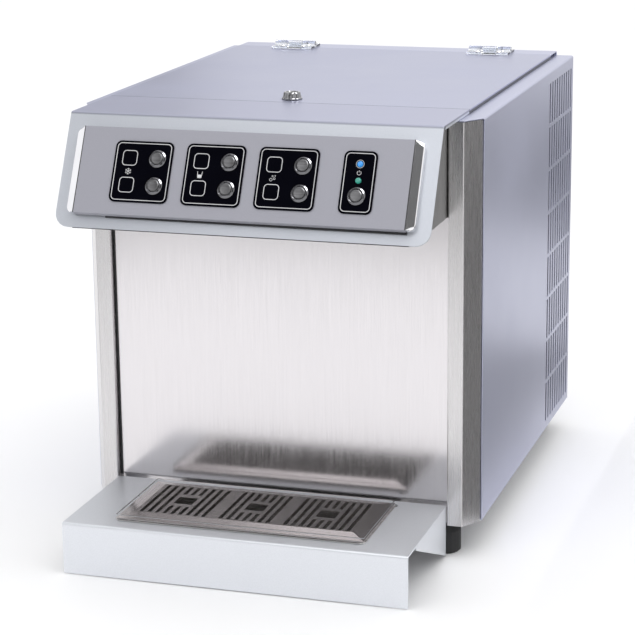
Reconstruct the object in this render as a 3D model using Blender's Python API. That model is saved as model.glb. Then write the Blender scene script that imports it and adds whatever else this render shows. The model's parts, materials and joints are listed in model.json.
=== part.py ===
"""Countertop water dispenser: a sheet-metal cooler with a sloping console over a drip shelf.

The body frame has X across, Y to the rear from the front face of the corner posts, and Z up from
the counter. The root empty then moves that frame so that the world origin is under the middle of
the whole appliance.
"""
import math

import bmesh
import bpy
from mathutils import Matrix, Vector

MM = 0.001

# ------------------------------------------------------------------ driving sizes
# Casing
BODY_WIDTH = 400 * MM
BODY_DEPTH = 455 * MM          # front of the posts to the rear face
LID_TOP = 432.5 * MM           # counter to the top of the closed lid
FOOT_HEIGHT = 32 * MM
SHEET = 1.2 * MM               # casing sheet
FIT = 0.3 * MM                 # gap between pieces that touch
FOLD_RADIUS = 2 * MM
FOLD_STEPS = 3

# Corner posts
POST_STRIP = 15.5 * MM         # flat front strip
CHAMFER_ACROSS = 13.9 * MM
CHAMFER_BACK = 23.2 * MM
POST_RETURN = 18 * MM          # inner return beside the splash panel
POST_TONGUE = 15 * MM          # tongue behind the side panel

# Side panels
FLANGE_WIDTH = 35 * MM
VENT_COLUMNS = 10
VENT_ROWS = 8
VENT_SLOT_WIDTH = 6 * MM
VENT_COLUMN_PITCH = 12.5 * MM
VENT_MARGIN = 11.05 * MM       # metal left above and below the rows
VENT_BAR = 3.7 * MM            # metal left between two rows
VENT_REAR_MARGIN = 9 * MM      # last column to the rear face

# Splash panel, base pan and rear panel
SPLASH_RECESS = 8 * MM
SPLASH_WINDOW = (140 * MM, 30 * MM)
SPLASH_WINDOW_DROP = 48 * MM   # flange underside to the middle of the window
BASE_PAN_WALL = 22 * MM
REAR_STRIP = 32.5 * MM         # top strip in front of the rear face

# Hood and head
LID_MARGIN = 18.7 * MM         # side of the lid to the side of the casing
HOOD_STRIP = 40 * MM           # hood on the casing, front plane to the lid seam
HOOD_REACH = 56.8 * MM         # hood's top front edge ahead of the posts
FACE_LENGTH = 112.7 * MM
FACE_TILT = math.radians(27.24)
FACE_CORNER = 14 * MM
HOOD_FOLD_RADIUS = 3 * MM
HOOD_LIP = 3 * MM
HEAD_FLOOR_RISE = 2.9 * MM     # bottom of the face up to the underside of the head

# Lid
LID_SEAM = 0.6 * MM
LID_LIP = 3 * MM
LOCK_INSET = 20 * MM           # seam to the middle of the lock
LOCK_RADIUS = 10 * MM
LOCK_HEIGHT = 7.2 * MM
LOCK_SHAFT = 6 * MM
LOCK_FLUTES = 20
CAM_LENGTH = 30 * MM
CAM_WIDTH = 12 * MM
CAM_THICKNESS = 2.5 * MM
CAM_DROP = 9 * MM              # lid top down to the top of the cam

# Lid hinges
HINGE_OFFSET = 113 * MM
HINGE_WIDTH = 47 * MM
HINGE_LEAF = 17 * MM           # pin axis to the free edge of a leaf
LEAF_THICKNESS = 2.2 * MM
KNUCKLE_RADIUS = 3.6 * MM
PIN_RADIUS = 1.5 * MM
KNUCKLE_CLEARANCE = 0.4 * MM

# Console, measured down the sloping face from the hood's top edge
CONSOLE_MARGIN = 22.1 * MM     # side of the hood to the end of the plate
CONSOLE_TOP = 17 * MM
CONSOLE_HEIGHT = 84 * MM
CONSOLE_PROUD = 11 * MM
CONSOLE_GAP = 2.7 * MM         # open line between the face and the plate's lips
CAP_WIDTH = 8.6 * MM
CAP_CORNER = 7 * MM
FACE_HOLE_MARGIN = 1 * MM      # hood's holes round the barrels, beyond the plate's holes

# Keypads and buttons
KEYPAD_TOP = 30 * MM
KEYPAD_FOOT = 16.6 * MM        # middle of the lower buttons to the lower edge of the keypads
KEYPAD_WIDTH = 57.5 * MM
KEYPAD_PITCH = 70.5 * MM
KEYPAD_FIRST = -96.8 * MM      # middle of the left keypad
ENERGY_KEYPAD_WIDTH = 31.5 * MM
ENERGY_KEYPAD_GAP = 22.8 * MM  # to the right edge of the third keypad
KEYPAD_THICKNESS = 0.6 * MM
KEYPAD_CORNER = 5.5 * MM
BUTTON_OFFSET = 14 * MM        # right of the middle of a keypad
BUTTON_UPPER = 46.5 * MM
BUTTON_SPACING = 25.9 * MM
BUTTON_RADIUS = 5.6 * MM
BUTTON_CLEARANCE = 0.3 * MM
BEZEL_RADIUS = 8.7 * MM
BEZEL_WALL = 1.2 * MM
BEZEL_HEIGHT = 1.8 * MM
BARREL_DEPTH = 17 * MM         # barrel behind the keypad
BUTTON_PROUD = 0.4 * MM
LAMP_RADIUS = 2.9 * MM
LAMP_PROUD = 1.2 * MM
LAMP_RISE = 14.6 * MM          # lower lamp above the energy button
LAMP_SPACING = 15.5 * MM

# Drip shelf, grille and bowl
SHELF_REACH = 142.2 * MM
SHELF_TOP = 51.7 * MM
SHELF_SHEET = 1.5 * MM
SHELF_GAP = 6.5 * MM           # splash panel to the rear edge of the shelf
SHELF_FOLD_RADIUS = 2.5 * MM
APRON_CLEARANCE = 1 * MM
GUSSET_LENGTH = 112 * MM
GUSSET_FRONT = 5 * MM          # depth of the gusset at its front end
GRILLE_FRONT_GAP = 19.2 * MM   # apron to the grille
GRILLE_REAR_GAP = 13 * MM      # grille to the front plane of the posts
GRILLE_MARGINS = (3.8 * MM, 2 * MM)  # outer slots to the border, and slot ends to the border
GRILLE_BORDER = 14 * MM        # sloping border round the slotted middle
GRILLE_RISE = 3 * MM           # middle of the grille above its edge
GRILLE_SLOT = 4 * MM
GRILLE_PITCH = 7.8 * MM
STATION_PITCH = 72 * MM        # one cup place to the next
STATION_COLUMNS = (9, 7, 9)
STATION_MARK = 19.5 * MM       # square hole in the middle of a cup place
STATION_MARK_BRIDGE = 6.5 * MM
BOWL_RIM = 1.2 * MM            # rim outside the grille
BOWL_LEDGE = 4.5 * MM          # grille edge to the well
BOWL_CLEARANCE = 0.5 * MM
BOWL_BOTTOM = 12 * MM
BOWL_CORNER = 6 * MM
NOTCH_RADIUS = 5 * MM          # finger notch behind the grille's right end
NOTCH_INSET = 3 * MM           # middle of the notch to the right end of the grille

# Feet and nozzles
FOOT_RADIUS = 15 * MM
FOOT_INSET_X = 35 * MM
FOOT_INSET_Y = 20 * MM
NOZZLE_REACH = 62 * MM         # ahead of the posts
NOZZLE_RADIUS = 7.7 * MM
NOZZLE_BORE = 2.5 * MM
NOZZLE_DROP = 13 * MM
NOZZLE_STEM = 24 * MM
NOZZLE_FLANGE = 11 * MM

# Cooling and water system
COMPRESSOR_RADIUS = 68 * MM
COMPRESSOR_HEIGHT = 165 * MM
COMPRESSOR_RIM = 2.7 * MM      # weld band beyond the shell
COMPRESSOR_GAP = 29.3 * MM     # weld band to the left side and to the rear face
CONDENSER_SIZE = (26 * MM, 112 * MM, 250 * MM)
CONDENSER_FINS = 16
FAN_RADIUS = 50 * MM
FAN_BLADES = 5
FAN_DEPTH = 16 * MM
FAN_CLEARANCE = 3 * MM
SHROUD_STANDOFF = 7 * MM       # condenser to the shroud
TANK_FRONT = 102.5 * MM        # behind the front of the posts
TANK_REAR_GAP = 6.8 * MM       # tank to the compressor's front
TANK_SIDE_GAP = 40 * MM        # tank to the right side
TANK_PUMP_GAP = 38 * MM
TANK_TOP_GAP = 108.3 * MM      # tank up to the underside of the flanges
TANK_CORNER = 25 * MM
PUMP_RADIUS = 32 * MM
PUMP_LENGTH = 120 * MM
PUMP_INSET = 80 * MM           # axis to the left side
MANIFOLD_SIZE = (150 * MM, 28 * MM, 26 * MM)
MANIFOLD_GAP = 18.8 * MM       # splash panel to the manifold
BOARD_SIZE = (220 * MM, 42 * MM, 1.6 * MM)
MAINS_SIZE = (28 * MM, 24 * MM)
MAINS_PLACE = (-130 * MM, 85 * MM)
WATER_PLACE = (-60 * MM, 85 * MM)
GAS_PLACE = (-15 * MM, 85 * MM)
WATER_STEM = 9 * MM            # radius of the stem through the rear panel
GAS_STEM = 6 * MM
FITTING_REACH = 12 * MM        # rear face to the end of the rear fittings

# ------------------------------------------------------------------ derived places
HALF_WIDTH = BODY_WIDTH / 2
BAY_HALF = HALF_WIDTH - CHAMFER_ACROSS - POST_STRIP
LID_HALF = HALF_WIDTH - LID_MARGIN
CONSOLE_HALF = LID_HALF - CONSOLE_MARGIN
FLANGE_DROP = SHEET + max(HOOD_LIP, LID_LIP) + FIT  # lid top down to the top of the flange
FLANGE_TOP = LID_TOP - FLANGE_DROP
FLANGE_UNDER = FLANGE_TOP - SHEET
INNER_HALF = HALF_WIDTH - SHEET - FIT            # outer face of what sits inside the panels
PAN_HALF = INNER_HALF - SHEET - FIT
REAR_INNER = BODY_DEPTH - SHEET
HINGE_Y = BODY_DEPTH - REAR_STRIP - LID_SEAM / 2
HINGE_Z = LID_TOP + FIT + KNUCKLE_RADIUS
FACE_BOTTOM = LID_TOP - FACE_LENGTH * math.cos(FACE_TILT)
HEAD_FLOOR = FACE_BOTTOM + HEAD_FLOOR_RISE
FACE_BACKING = (SHEET + FIT) / math.cos(FACE_TILT)
LOCK_Y = HOOD_STRIP + LOCK_INSET
PLATE_FRONT = CONSOLE_PROUD
KEYPAD_FRONT = PLATE_FRONT + FIT + KEYPAD_THICKNESS
BUTTON_LOWER = BUTTON_UPPER + BUTTON_SPACING
KEYPAD_HEIGHT = BUTTON_LOWER + KEYPAD_FOOT - KEYPAD_TOP
ENERGY_KEYPAD_CENTRE = (KEYPAD_FIRST + 2 * KEYPAD_PITCH + KEYPAD_WIDTH / 2 + ENERGY_KEYPAD_GAP
                        + ENERGY_KEYPAD_WIDTH / 2)
ENERGY_LAMP = BUTTON_LOWER - LAMP_RISE
STATUS_LAMP = ENERGY_LAMP - LAMP_SPACING
BARREL_RADIUS = BUTTON_RADIUS + BUTTON_CLEARANCE + BEZEL_WALL
BARREL_HOLE = BARREL_RADIUS + FIT
COMPRESSOR_BAND = COMPRESSOR_RADIUS + COMPRESSOR_RIM
COMPRESSOR_X = -HALF_WIDTH + COMPRESSOR_GAP + COMPRESSOR_BAND
COMPRESSOR_Y = BODY_DEPTH - COMPRESSOR_GAP - COMPRESSOR_BAND
PUMP_X = -HALF_WIDTH + PUMP_INSET
OUTER_SLOT = STATION_PITCH + (STATION_COLUMNS[0] - 1) / 2 * GRILLE_PITCH + GRILLE_SLOT / 2
GRILLE_WIDTH = 2 * (OUTER_SLOT + GRILLE_MARGINS[0] + GRILLE_BORDER)
GRILLE_DEPTH = SHELF_REACH - GRILLE_FRONT_GAP - GRILLE_REAR_GAP
GRILLE_CENTRE = -GRILLE_REAR_GAP - GRILLE_DEPTH / 2
GRILLE_SLOT_LENGTH = GRILLE_DEPTH - 2 * (GRILLE_BORDER + GRILLE_MARGINS[1])
WELL_HALF = (GRILLE_WIDTH / 2 - BOWL_LEDGE, GRILLE_DEPTH / 2 - BOWL_LEDGE)
FLOOR_TOP = FOOT_HEIGHT + SHEET
CENTRE_Y = (BODY_DEPTH + FITTING_REACH - SHELF_REACH) / 2


# ------------------------------------------------------------------ outlines
def rectangle(u0, u1, v0, v1):
    return [(u0, v0), (u1, v0), (u1, v1), (u0, v1)]


def rounded_rectangle(u0, u1, v0, v1, radius, steps=4):
    corners = [(u1 - radius, v1 - radius, 0), (u0 + radius, v1 - radius, 90),
               (u0 + radius, v0 + radius, 180), (u1 - radius, v0 + radius, 270)]
    points = []
    for cu, cv, start in corners:
        for step in range(steps + 1):
            angle = math.radians(start + 90 * step / steps)
            points.append((cu + radius * math.cos(angle), cv + radius * math.sin(angle)))
    return points


def circle(cu, cv, radius, count=20):
    turns = [2 * math.pi * k / count for k in range(count)]
    return [(cu + radius * math.cos(turn), cv + radius * math.sin(turn)) for turn in turns]


def rounded_path(points, radius, steps=FOLD_STEPS):
    """The open path with each inner corner replaced by an arc of the given radius."""
    result = [Vector(points[0])]
    for before, corner, after in zip(points, points[1:], points[2:]):
        corner = Vector(corner)
        back = (Vector(before) - corner).normalized()
        ahead = (Vector(after) - corner).normalized()
        half_turn = (math.pi - back.angle(ahead)) / 2
        reach = radius * math.tan(half_turn)
        centre = corner + (back + ahead).normalized() * radius / math.cos(half_turn)
        start = corner + back * reach - centre
        turn = start.angle_signed(corner + ahead * reach - centre)
        for step in range(steps + 1):
            arm = start.copy()
            arm.rotate(Matrix.Rotation(-turn * step / steps, 2))
            result.append(centre + arm)
    result.append(Vector(points[-1]))
    return result


def path_marks(path):
    """The distance along the path of each of its points."""
    marks = [0.0]
    for a, b in zip(path, path[1:]):
        marks.append(marks[-1] + (b - a).length)
    return marks


def along(path, point):
    """The distance along the path of the place on it that is nearest to the point."""
    point = Vector(point)
    best = None
    for mark, a, b in zip(path_marks(path), path, path[1:]):
        share = max(0.0, min(1.0, (point - a).dot(b - a) / (b - a).length_squared))
        gap = (a + (b - a) * share - point).length
        if best is None or gap < best[0] - 1e-9:
            best = (gap, mark + (b - a).length * share)
    return best[1]


# ------------------------------------------------------------------ solids
def flat_blank(outline, holes, thickness):
    """A flat plate in U and V with holes through it, from W = 0 to the thickness."""
    bm = bmesh.new()
    edges = []
    for loop in [outline, *holes]:
        verts = [bm.verts.new((u, v, 0)) for u, v in loop]
        edges += [bm.edges.new(pair) for pair in zip(verts, verts[1:] + verts[:1])]
    bmesh.ops.triangle_fill(bm, use_beauty=True, edges=edges, normal=(0, 0, 1))
    thicken(bm, thickness)
    return bm


def face_out(bm):
    """Makes the faces agree and point outwards."""
    bmesh.ops.recalc_face_normals(bm, faces=bm.faces[:])
    if bm.calc_volume(signed=True) < 0:
        bmesh.ops.reverse_faces(bm, faces=bm.faces[:])


def thicken(bm, thickness):
    grown = bmesh.ops.extrude_face_region(bm, geom=bm.faces[:])
    verts = [item for item in grown["geom"] if isinstance(item, bmesh.types.BMVert)]
    bmesh.ops.translate(bm, vec=(0, 0, thickness), verts=verts)
    face_out(bm)


def score(bm, axis, value):
    """Cuts the blank's faces along a line of constant U (axis 0) or V (axis 1)."""
    normal = Vector((1, 0, 0)) if axis == 0 else Vector((0, 1, 0))
    geometry = bm.verts[:] + bm.edges[:] + bm.faces[:]
    bmesh.ops.bisect_plane(bm, geom=geometry, dist=1e-7, plane_co=normal * value, plane_no=normal)


def raise_lips(bm, thickness, depth, chosen):
    """Extrudes the chosen faces of the inner side, at W = thickness, by the lip's depth."""
    faces = [face for face in bm.faces if face.normal.z > 0.9
             and abs(face.calc_center_median().z - thickness) < 1e-6
             and chosen(face.calc_center_median())]
    grown = bmesh.ops.extrude_face_region(bm, geom=faces)
    bmesh.ops.delete(bm, geom=faces, context="FACES")
    verts = [item for item in grown["geom"] if isinstance(item, bmesh.types.BMVert)]
    bmesh.ops.translate(bm, vec=(0, 0, depth), verts=verts)


def fold(bm, path, place):
    """Lays V along the path and W to the path's left, then puts (U, a, b) where place says."""
    marks = path_marks(path)
    for mark in marks[1:-1]:
        score(bm, 1, mark)
    runs = [(b - a).normalized() for a, b in zip(path, path[1:])]
    lefts = [Vector((-run.y, run.x)) for run in runs]
    for vert in bm.verts:
        u, v, w = vert.co
        index = 0
        while index < len(runs) - 1 and v > marks[index + 1] - 1e-6:
            index += 1
        left = lefts[index]
        if index > 0 and abs(v - marks[index]) < 1e-6:
            left = lefts[index - 1] + lefts[index]
            left = left * (2 / left.length_squared)
        spot = path[index] + runs[index] * (v - marks[index]) + left * w
        vert.co = place(u, spot.x, spot.y)


def sheet_piece(outline, holes, path, place, thickness=SHEET, lips=None):
    """Folded sheet metal; lips is (depth, scores, chosen) for edges turned in before folding."""
    bm = flat_blank(outline, holes, thickness)
    if lips:
        depth, scores, chosen = lips
        for axis, value in scores:
            score(bm, axis, value)
        raise_lips(bm, thickness, depth, chosen)
    fold(bm, path, place)
    face_out(bm)
    return bm


def loft(loops, ring=False):
    """A solid through loops with equally many points; a ring joins the last loop to the first."""
    bm = bmesh.new()
    rows = [[bm.verts.new(point) for point in loop] for loop in loops]
    pairs = list(zip(rows, rows[1:]))
    if ring:
        pairs.append((rows[-1], rows[0]))
    for low, high in pairs:
        for k in range(len(low)):
            after = (k + 1) % len(low)
            bm.faces.new((low[k], low[after], high[after], high[k]))
    if not ring:
        bm.faces.new(rows[0][::-1])
        bm.faces.new(rows[-1])
    face_out(bm)
    return bm


def turned(profile, count=20, ring=False):
    """A solid of revolution about Z through (radius, height) points."""
    return loft([[(u, v, z) for u, v in circle(0, 0, radius, count)] for radius, z in profile], ring)


def prism(outline, z0, z1):
    return loft([[(u, v, z0) for u, v in outline], [(u, v, z1) for u, v in outline]])


def block(x0, x1, y0, y1, z0, z1):
    return prism(rectangle(x0, x1, y0, y1), z0, z1)


def shifted(bm, x=0, y=0, z=0):
    bmesh.ops.translate(bm, vec=(x, y, z), verts=bm.verts[:])
    return bm


def turned_to_x(bm):
    """Turns the Z axis of a solid to +X."""
    bmesh.ops.rotate(bm, cent=(0, 0, 0), matrix=Matrix.Rotation(math.pi / 2, 3, "Y"), verts=bm.verts[:])
    return bm


def turned_to_y(bm):
    """Turns the Z axis of a solid to +Y."""
    bmesh.ops.rotate(bm, cent=(0, 0, 0), matrix=Matrix.Rotation(-math.pi / 2, 3, "X"), verts=bm.verts[:])
    return bm


def mirrored(bm):
    bmesh.ops.scale(bm, vec=(-1, 1, 1), verts=bm.verts[:])
    face_out(bm)
    return bm


# ------------------------------------------------------------------ objects and materials
def material(name, colour, roughness, metallic=0.0, transmission=0.0):
    made = bpy.data.materials.new(name)
    made.use_nodes = True
    shader = made.node_tree.nodes["Principled BSDF"]
    shader.inputs["Base Color"].default_value = (*colour, 1)
    shader.inputs["Roughness"].default_value = roughness
    shader.inputs["Metallic"].default_value = metallic
    shader.inputs["Transmission Weight"].default_value = transmission
    return made


def clear_scene():
    for item in list(bpy.data.objects):
        bpy.data.objects.remove(item, do_unlink=True)


def empty(name, parent=None, location=(0, 0, 0), tilt=0.0):
    item = bpy.data.objects.new(name, None)
    item.location = location
    item.rotation_euler = (tilt, 0, 0)
    item.parent = parent
    bpy.context.collection.objects.link(item)
    return item


def publish(name, bm, finish, parent, pivot=(0, 0, 0), smooth=False):
    """Makes the named object, with its origin at the pivot of the parent's frame."""
    bmesh.ops.translate(bm, vec=-Vector(pivot), verts=bm.verts[:])
    mesh = bpy.data.meshes.new(name)
    bm.to_mesh(mesh)
    bm.free()
    mesh.materials.append(finish)
    if smooth:
        mesh.shade_smooth()
        mesh.set_sharp_from_angle(angle=math.radians(35))
    item = bpy.data.objects.new(name, mesh)
    item.location = pivot
    item.parent = parent
    bpy.context.collection.objects.link(item)
    return item


def combine(item, bm, operation):
    """Joins a solid to an object, or cuts it away, in the object's parent's frame."""
    tool = publish(f"{item.name}_{operation.lower()}", bm, item.data.materials[0], item.parent)
    tool.hide_render = True
    tool.display_type = "WIRE"
    modifier = item.modifiers.new(operation.title(), "BOOLEAN")
    modifier.operation = operation
    modifier.solver = "EXACT"
    modifier.object = tool


# ------------------------------------------------------------------ casing
def across(u, a, b):
    """U across the appliance, the path in Y and Z."""
    return (u, a, b)


def lengthwise(u, a, b):
    """U along the appliance, the path in X and Z."""
    return (a, u, b)


def upright(u, a, b):
    """U up the appliance, the path in X and Y."""
    return (a, b, u)


def make_base_pan(parent, finish):
    front = POST_RETURN + FIT
    rear = REAR_INNER - FIT
    corner = POST_STRIP / 2

    def outline(inset):
        left, right = -PAN_HALF + inset, PAN_HALF - inset
        return [(left, front + 2 * corner), (left + corner, front + inset),
                (right - corner, front + inset), (right, front + 2 * corner),
                (right, rear - inset), (left, rear - inset)]

    levels = [(0, FOOT_HEIGHT), (0, FLOOR_TOP + BASE_PAN_WALL),
              (SHEET, FLOOR_TOP + BASE_PAN_WALL), (SHEET, FLOOR_TOP)]
    loops = [[(u, v, z) for u, v in outline(inset)] for inset, z in levels]
    publish("base_pan", loft(loops), finish, parent)


def vent_slots(path):
    wall = FLANGE_TOP - FOOT_HEIGHT
    length = (wall - 2 * VENT_MARGIN - (VENT_ROWS - 1) * VENT_BAR) / VENT_ROWS
    start = along(path, (HALF_WIDTH, FOOT_HEIGHT)) + VENT_MARGIN - FOLD_RADIUS
    slots = []
    for column in range(VENT_COLUMNS):
        rear = BODY_DEPTH - VENT_REAR_MARGIN - column * VENT_COLUMN_PITCH
        for row in range(VENT_ROWS):
            low = start + row * (length + VENT_BAR)
            slots.append(rectangle(rear - VENT_SLOT_WIDTH, rear, low, low + length))
    return slots


def side_panel():
    """The right side panel, with its vent slots and its top flange."""
    corner = (HALF_WIDTH, FLANGE_TOP)
    inner_edge = (HALF_WIDTH - FLANGE_WIDTH, FLANGE_TOP)
    path = rounded_path([(HALF_WIDTH, FOOT_HEIGHT), corner, inner_edge], FOLD_RADIUS)
    front_edge = along(path, (HALF_WIDTH - CHAMFER_ACROSS, FLANGE_TOP))
    end = along(path, inner_edge)
    flange_rear = REAR_INNER - FIT
    fold_end = along(path, (HALF_WIDTH - FOLD_RADIUS, FLANGE_TOP))
    fold_start = along(path, (HALF_WIDTH, FLANGE_TOP - FOLD_RADIUS))
    outline = [(CHAMFER_BACK, 0), (BODY_DEPTH, 0), (BODY_DEPTH, fold_start),
               (flange_rear, fold_end), (flange_rear, end), (FIT, end), (FIT, front_edge),
               (CHAMFER_BACK, fold_start)]
    return sheet_piece(outline, vent_slots(path), path, lengthwise)


def corner_post():
    """The right corner post: return, front strip, chamfer and the tongue behind the side panel."""
    slope = CHAMFER_BACK / CHAMFER_ACROSS
    chamfer_end = CHAMFER_BACK - (HALF_WIDTH - INNER_HALF) * slope
    corners = [(BAY_HALF, POST_RETURN), (BAY_HALF, 0), (BAY_HALF + POST_STRIP, 0),
               (INNER_HALF, chamfer_end), (INNER_HALF, chamfer_end + POST_TONGUE)]
    path = rounded_path(corners, SHEET + FIT, 2)
    end = path_marks(path)[-1]
    under_fold = HALF_WIDTH - FOLD_RADIUS - FIT
    fold_mark = along(path, (under_fold, chamfer_end - (INNER_HALF - under_fold) * slope))
    top = FLANGE_UNDER - FIT
    tongue_top = FLANGE_TOP - FOLD_RADIUS - FIT
    outline = [(FOOT_HEIGHT, 0), (top, 0), (top, fold_mark), (tongue_top, fold_mark + FOLD_RADIUS),
               (tongue_top, end), (FOOT_HEIGHT, end)]
    return sheet_piece(outline, [], path, upright)


def make_splash_panel(parent, finish):
    low, high = FOOT_HEIGHT, FLANGE_UNDER - FIT
    path = [Vector((SPLASH_RECESS + SHEET, low)), Vector((SPLASH_RECESS + SHEET, high))]
    window_width, window_height = SPLASH_WINDOW
    middle = FLANGE_UNDER - SPLASH_WINDOW_DROP - low
    window = rectangle(-window_width / 2, window_width / 2,
                       middle - window_height / 2, middle + window_height / 2)
    half = BAY_HALF - FIT
    bm = sheet_piece(rectangle(-half, half, 0, high - low), [window], path, across)
    publish("splash_panel", bm, finish, parent)


def make_rear_panel(parent, finish):
    low = FOOT_HEIGHT
    corners = [(BODY_DEPTH, low), (BODY_DEPTH, LID_TOP), (BODY_DEPTH - REAR_STRIP, LID_TOP)]
    path = rounded_path(corners, FOLD_RADIUS)
    wide_top = along(path, (BODY_DEPTH, FLANGE_UNDER - FIT))
    side_top = along(path, (BODY_DEPTH, FLANGE_TOP - FOLD_RADIUS - FIT))
    end = path_marks(path)[-1]
    half = INNER_HALF
    under_fold = HALF_WIDTH - FOLD_RADIUS - FIT
    right = [(half, 0), (half, side_top), (under_fold, wide_top), (LID_HALF, wide_top), (LID_HALF, end)]
    outline = right + [(-x, mark) for x, mark in right[::-1]]
    width, height = MAINS_SIZE
    x, z = MAINS_PLACE
    holes = [rectangle(x - width / 2 - FIT, x + width / 2 + FIT,
                       z - low - height / 2 - FIT, z - low + height / 2 + FIT),
             circle(WATER_PLACE[0], WATER_PLACE[1] - low, WATER_STEM + FIT),
             circle(GAS_PLACE[0], GAS_PLACE[1] - low, GAS_STEM + FIT)]
    publish("rear_panel", sheet_piece(outline, holes, path, across), finish, parent)


# ------------------------------------------------------------------ head
def face_plane(z, depth=0.0):
    """Y of the sloping face's outer surface at height z, or of a surface behind it."""
    return -HOOD_REACH - (LID_TOP - z) * math.tan(FACE_TILT) + depth


def make_hood(parent, finish):
    rear = HOOD_STRIP - LID_SEAM / 2
    corners = [(rear, LID_TOP), (-HOOD_REACH, LID_TOP), (face_plane(FACE_BOTTOM), FACE_BOTTOM)]
    path = rounded_path(corners, HOOD_FOLD_RADIUS, 4)
    end = path_marks(path)[-1]
    bottom = rounded_rectangle(-LID_HALF, LID_HALF, 0, end, FACE_CORNER, 5)
    bottom = [point for point in bottom if point[1] > end / 2]
    outline = [(LID_HALF, 0), *bottom, (-LID_HALF, 0)]
    holes = [circle(x, end - FACE_LENGTH + down, BARREL_HOLE + FACE_HOLE_MARGIN, 16)
             for _name, x, down in button_places()]
    lip_end = along(path, (-HOOD_REACH + 2 * HOOD_FOLD_RADIUS, LID_TOP))
    inner = LID_HALF - SHEET
    lips = (HOOD_LIP, [(0, inner), (0, -inner), (1, lip_end)],
            lambda spot: abs(spot.x) > inner and spot.y < lip_end)
    bm = sheet_piece(outline, holes, path, across, lips=lips)
    publish("hood", bm, finish, parent, smooth=True)


def make_head_underpan(parent, finish):
    half = BAY_HALF - FIT
    high = LID_TOP - SHEET - FIT
    corners = [(-half, high), (-half, HEAD_FLOOR), (half, HEAD_FLOOR), (half, high)]
    path = rounded_path(corners, FOLD_RADIUS)
    step = FLANGE_UNDER - FIT
    rear = SPLASH_RECESS - FIT

    def side(x):
        low_front = face_plane(HEAD_FLOOR + FOLD_RADIUS, FACE_BACKING)
        corner = high - HOOD_FOLD_RADIUS
        return [(face_plane(corner, FACE_BACKING) + HOOD_FOLD_RADIUS, along(path, (x, high))),
                (face_plane(corner, FACE_BACKING), along(path, (x, corner))),
                (low_front, along(path, (x, HEAD_FLOOR + FOLD_RADIUS)))]

    def back(x):
        return [(-FIT, along(path, (x, high))), (-FIT, along(path, (x, step))),
                (rear, along(path, (x, step)))]

    outline = side(-half) + side(half)[::-1] + back(half) + back(-half)[::-1]
    holes = [circle(-NOZZLE_REACH, along(path, (x, HEAD_FLOOR)), NOZZLE_RADIUS + FIT)
             for x in station_places()]
    bm = sheet_piece(outline, holes, path, lengthwise)
    publish("head_underpan", bm, finish, parent)


def station_places():
    return [-STATION_PITCH, 0.0, STATION_PITCH]


def make_nozzles(parent, finish):
    under = HEAD_FLOOR - FIT
    profile = [(NOZZLE_BORE, under - NOZZLE_DROP), (NOZZLE_RADIUS - 2.2 * MM, under - NOZZLE_DROP),
               (NOZZLE_RADIUS - MM, under - NOZZLE_DROP * 0.8),
               (NOZZLE_RADIUS, under - 3 * MM), (NOZZLE_FLANGE, under - 2.4 * MM),
               (NOZZLE_FLANGE, under), (NOZZLE_RADIUS, under),
               (NOZZLE_RADIUS, under + NOZZLE_STEM), (NOZZLE_BORE, under + NOZZLE_STEM)]
    names = ["cold_nozzle", "ambient_nozzle", "sparkling_nozzle"]
    for name, x in zip(names, station_places()):
        bm = shifted(turned(profile, 16, ring=True), x, -NOZZLE_REACH)
        publish(name, bm, finish, parent, smooth=True)


# ------------------------------------------------------------------ lid
def make_lid(pivot_parent, pivot, finish):
    front = HOOD_STRIP + LID_SEAM / 2
    rear = HINGE_Y - LID_SEAM / 2
    path = [Vector((rear, LID_TOP)), Vector((front, LID_TOP))]
    length = rear - front
    inner = LID_HALF - SHEET
    hole = circle(0, rear - LOCK_Y, LOCK_SHAFT + FIT)
    lips = (LID_LIP, [(0, inner), (0, -inner), (1, SHEET), (1, length - SHEET)],
            lambda spot: abs(spot.x) > inner or not SHEET < spot.y < length - SHEET)
    outline = rectangle(-LID_HALF, LID_HALF, 0, length)
    bm = sheet_piece(outline, [hole], path, across, lips=lips)
    publish("lid", bm, finish, pivot_parent, pivot)


def make_lid_lock(pivot_parent, finish):
    count = 2 * LOCK_FLUTES

    def ring(radius, z, depth=0.0):
        points = circle(0, 0, radius, count)
        shares = [1 - depth / radius * (k % 2) for k in range(count)]
        return [(u * share, LOCK_Y + v * share, z) for (u, v), share in zip(points, shares)]

    seat = LID_TOP + FIT
    top = LID_TOP + LOCK_HEIGHT
    cam_top = LID_TOP - CAM_DROP
    flute = 0.7 * MM
    loops = [ring(LOCK_SHAFT, cam_top - CAM_THICKNESS), ring(LOCK_SHAFT, seat),
             ring(LOCK_RADIUS, seat), ring(LOCK_RADIUS, seat + 1.2 * MM),
             ring(LOCK_RADIUS - 0.6 * MM, seat + 1.8 * MM, flute),
             ring(LOCK_RADIUS - 1.2 * MM, top - 1.2 * MM, flute),
             ring(LOCK_RADIUS - 2.4 * MM, top)]
    lock = publish("lid_lock", loft(loops), finish, pivot_parent, (0, LOCK_Y, 0), smooth=True)
    cam = block(0, CAM_LENGTH, LOCK_Y - CAM_WIDTH / 2, LOCK_Y + CAM_WIDTH / 2,
                cam_top - CAM_THICKNESS + 0.1 * MM, cam_top)
    combine(lock, cam, "UNION")


def knuckle(x0, x1, radius, count=16):
    bm = turned([(radius, 0), (radius, x1 - x0)], count)
    return shifted(turned_to_x(bm), x0, HINGE_Y, HINGE_Z)


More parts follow.
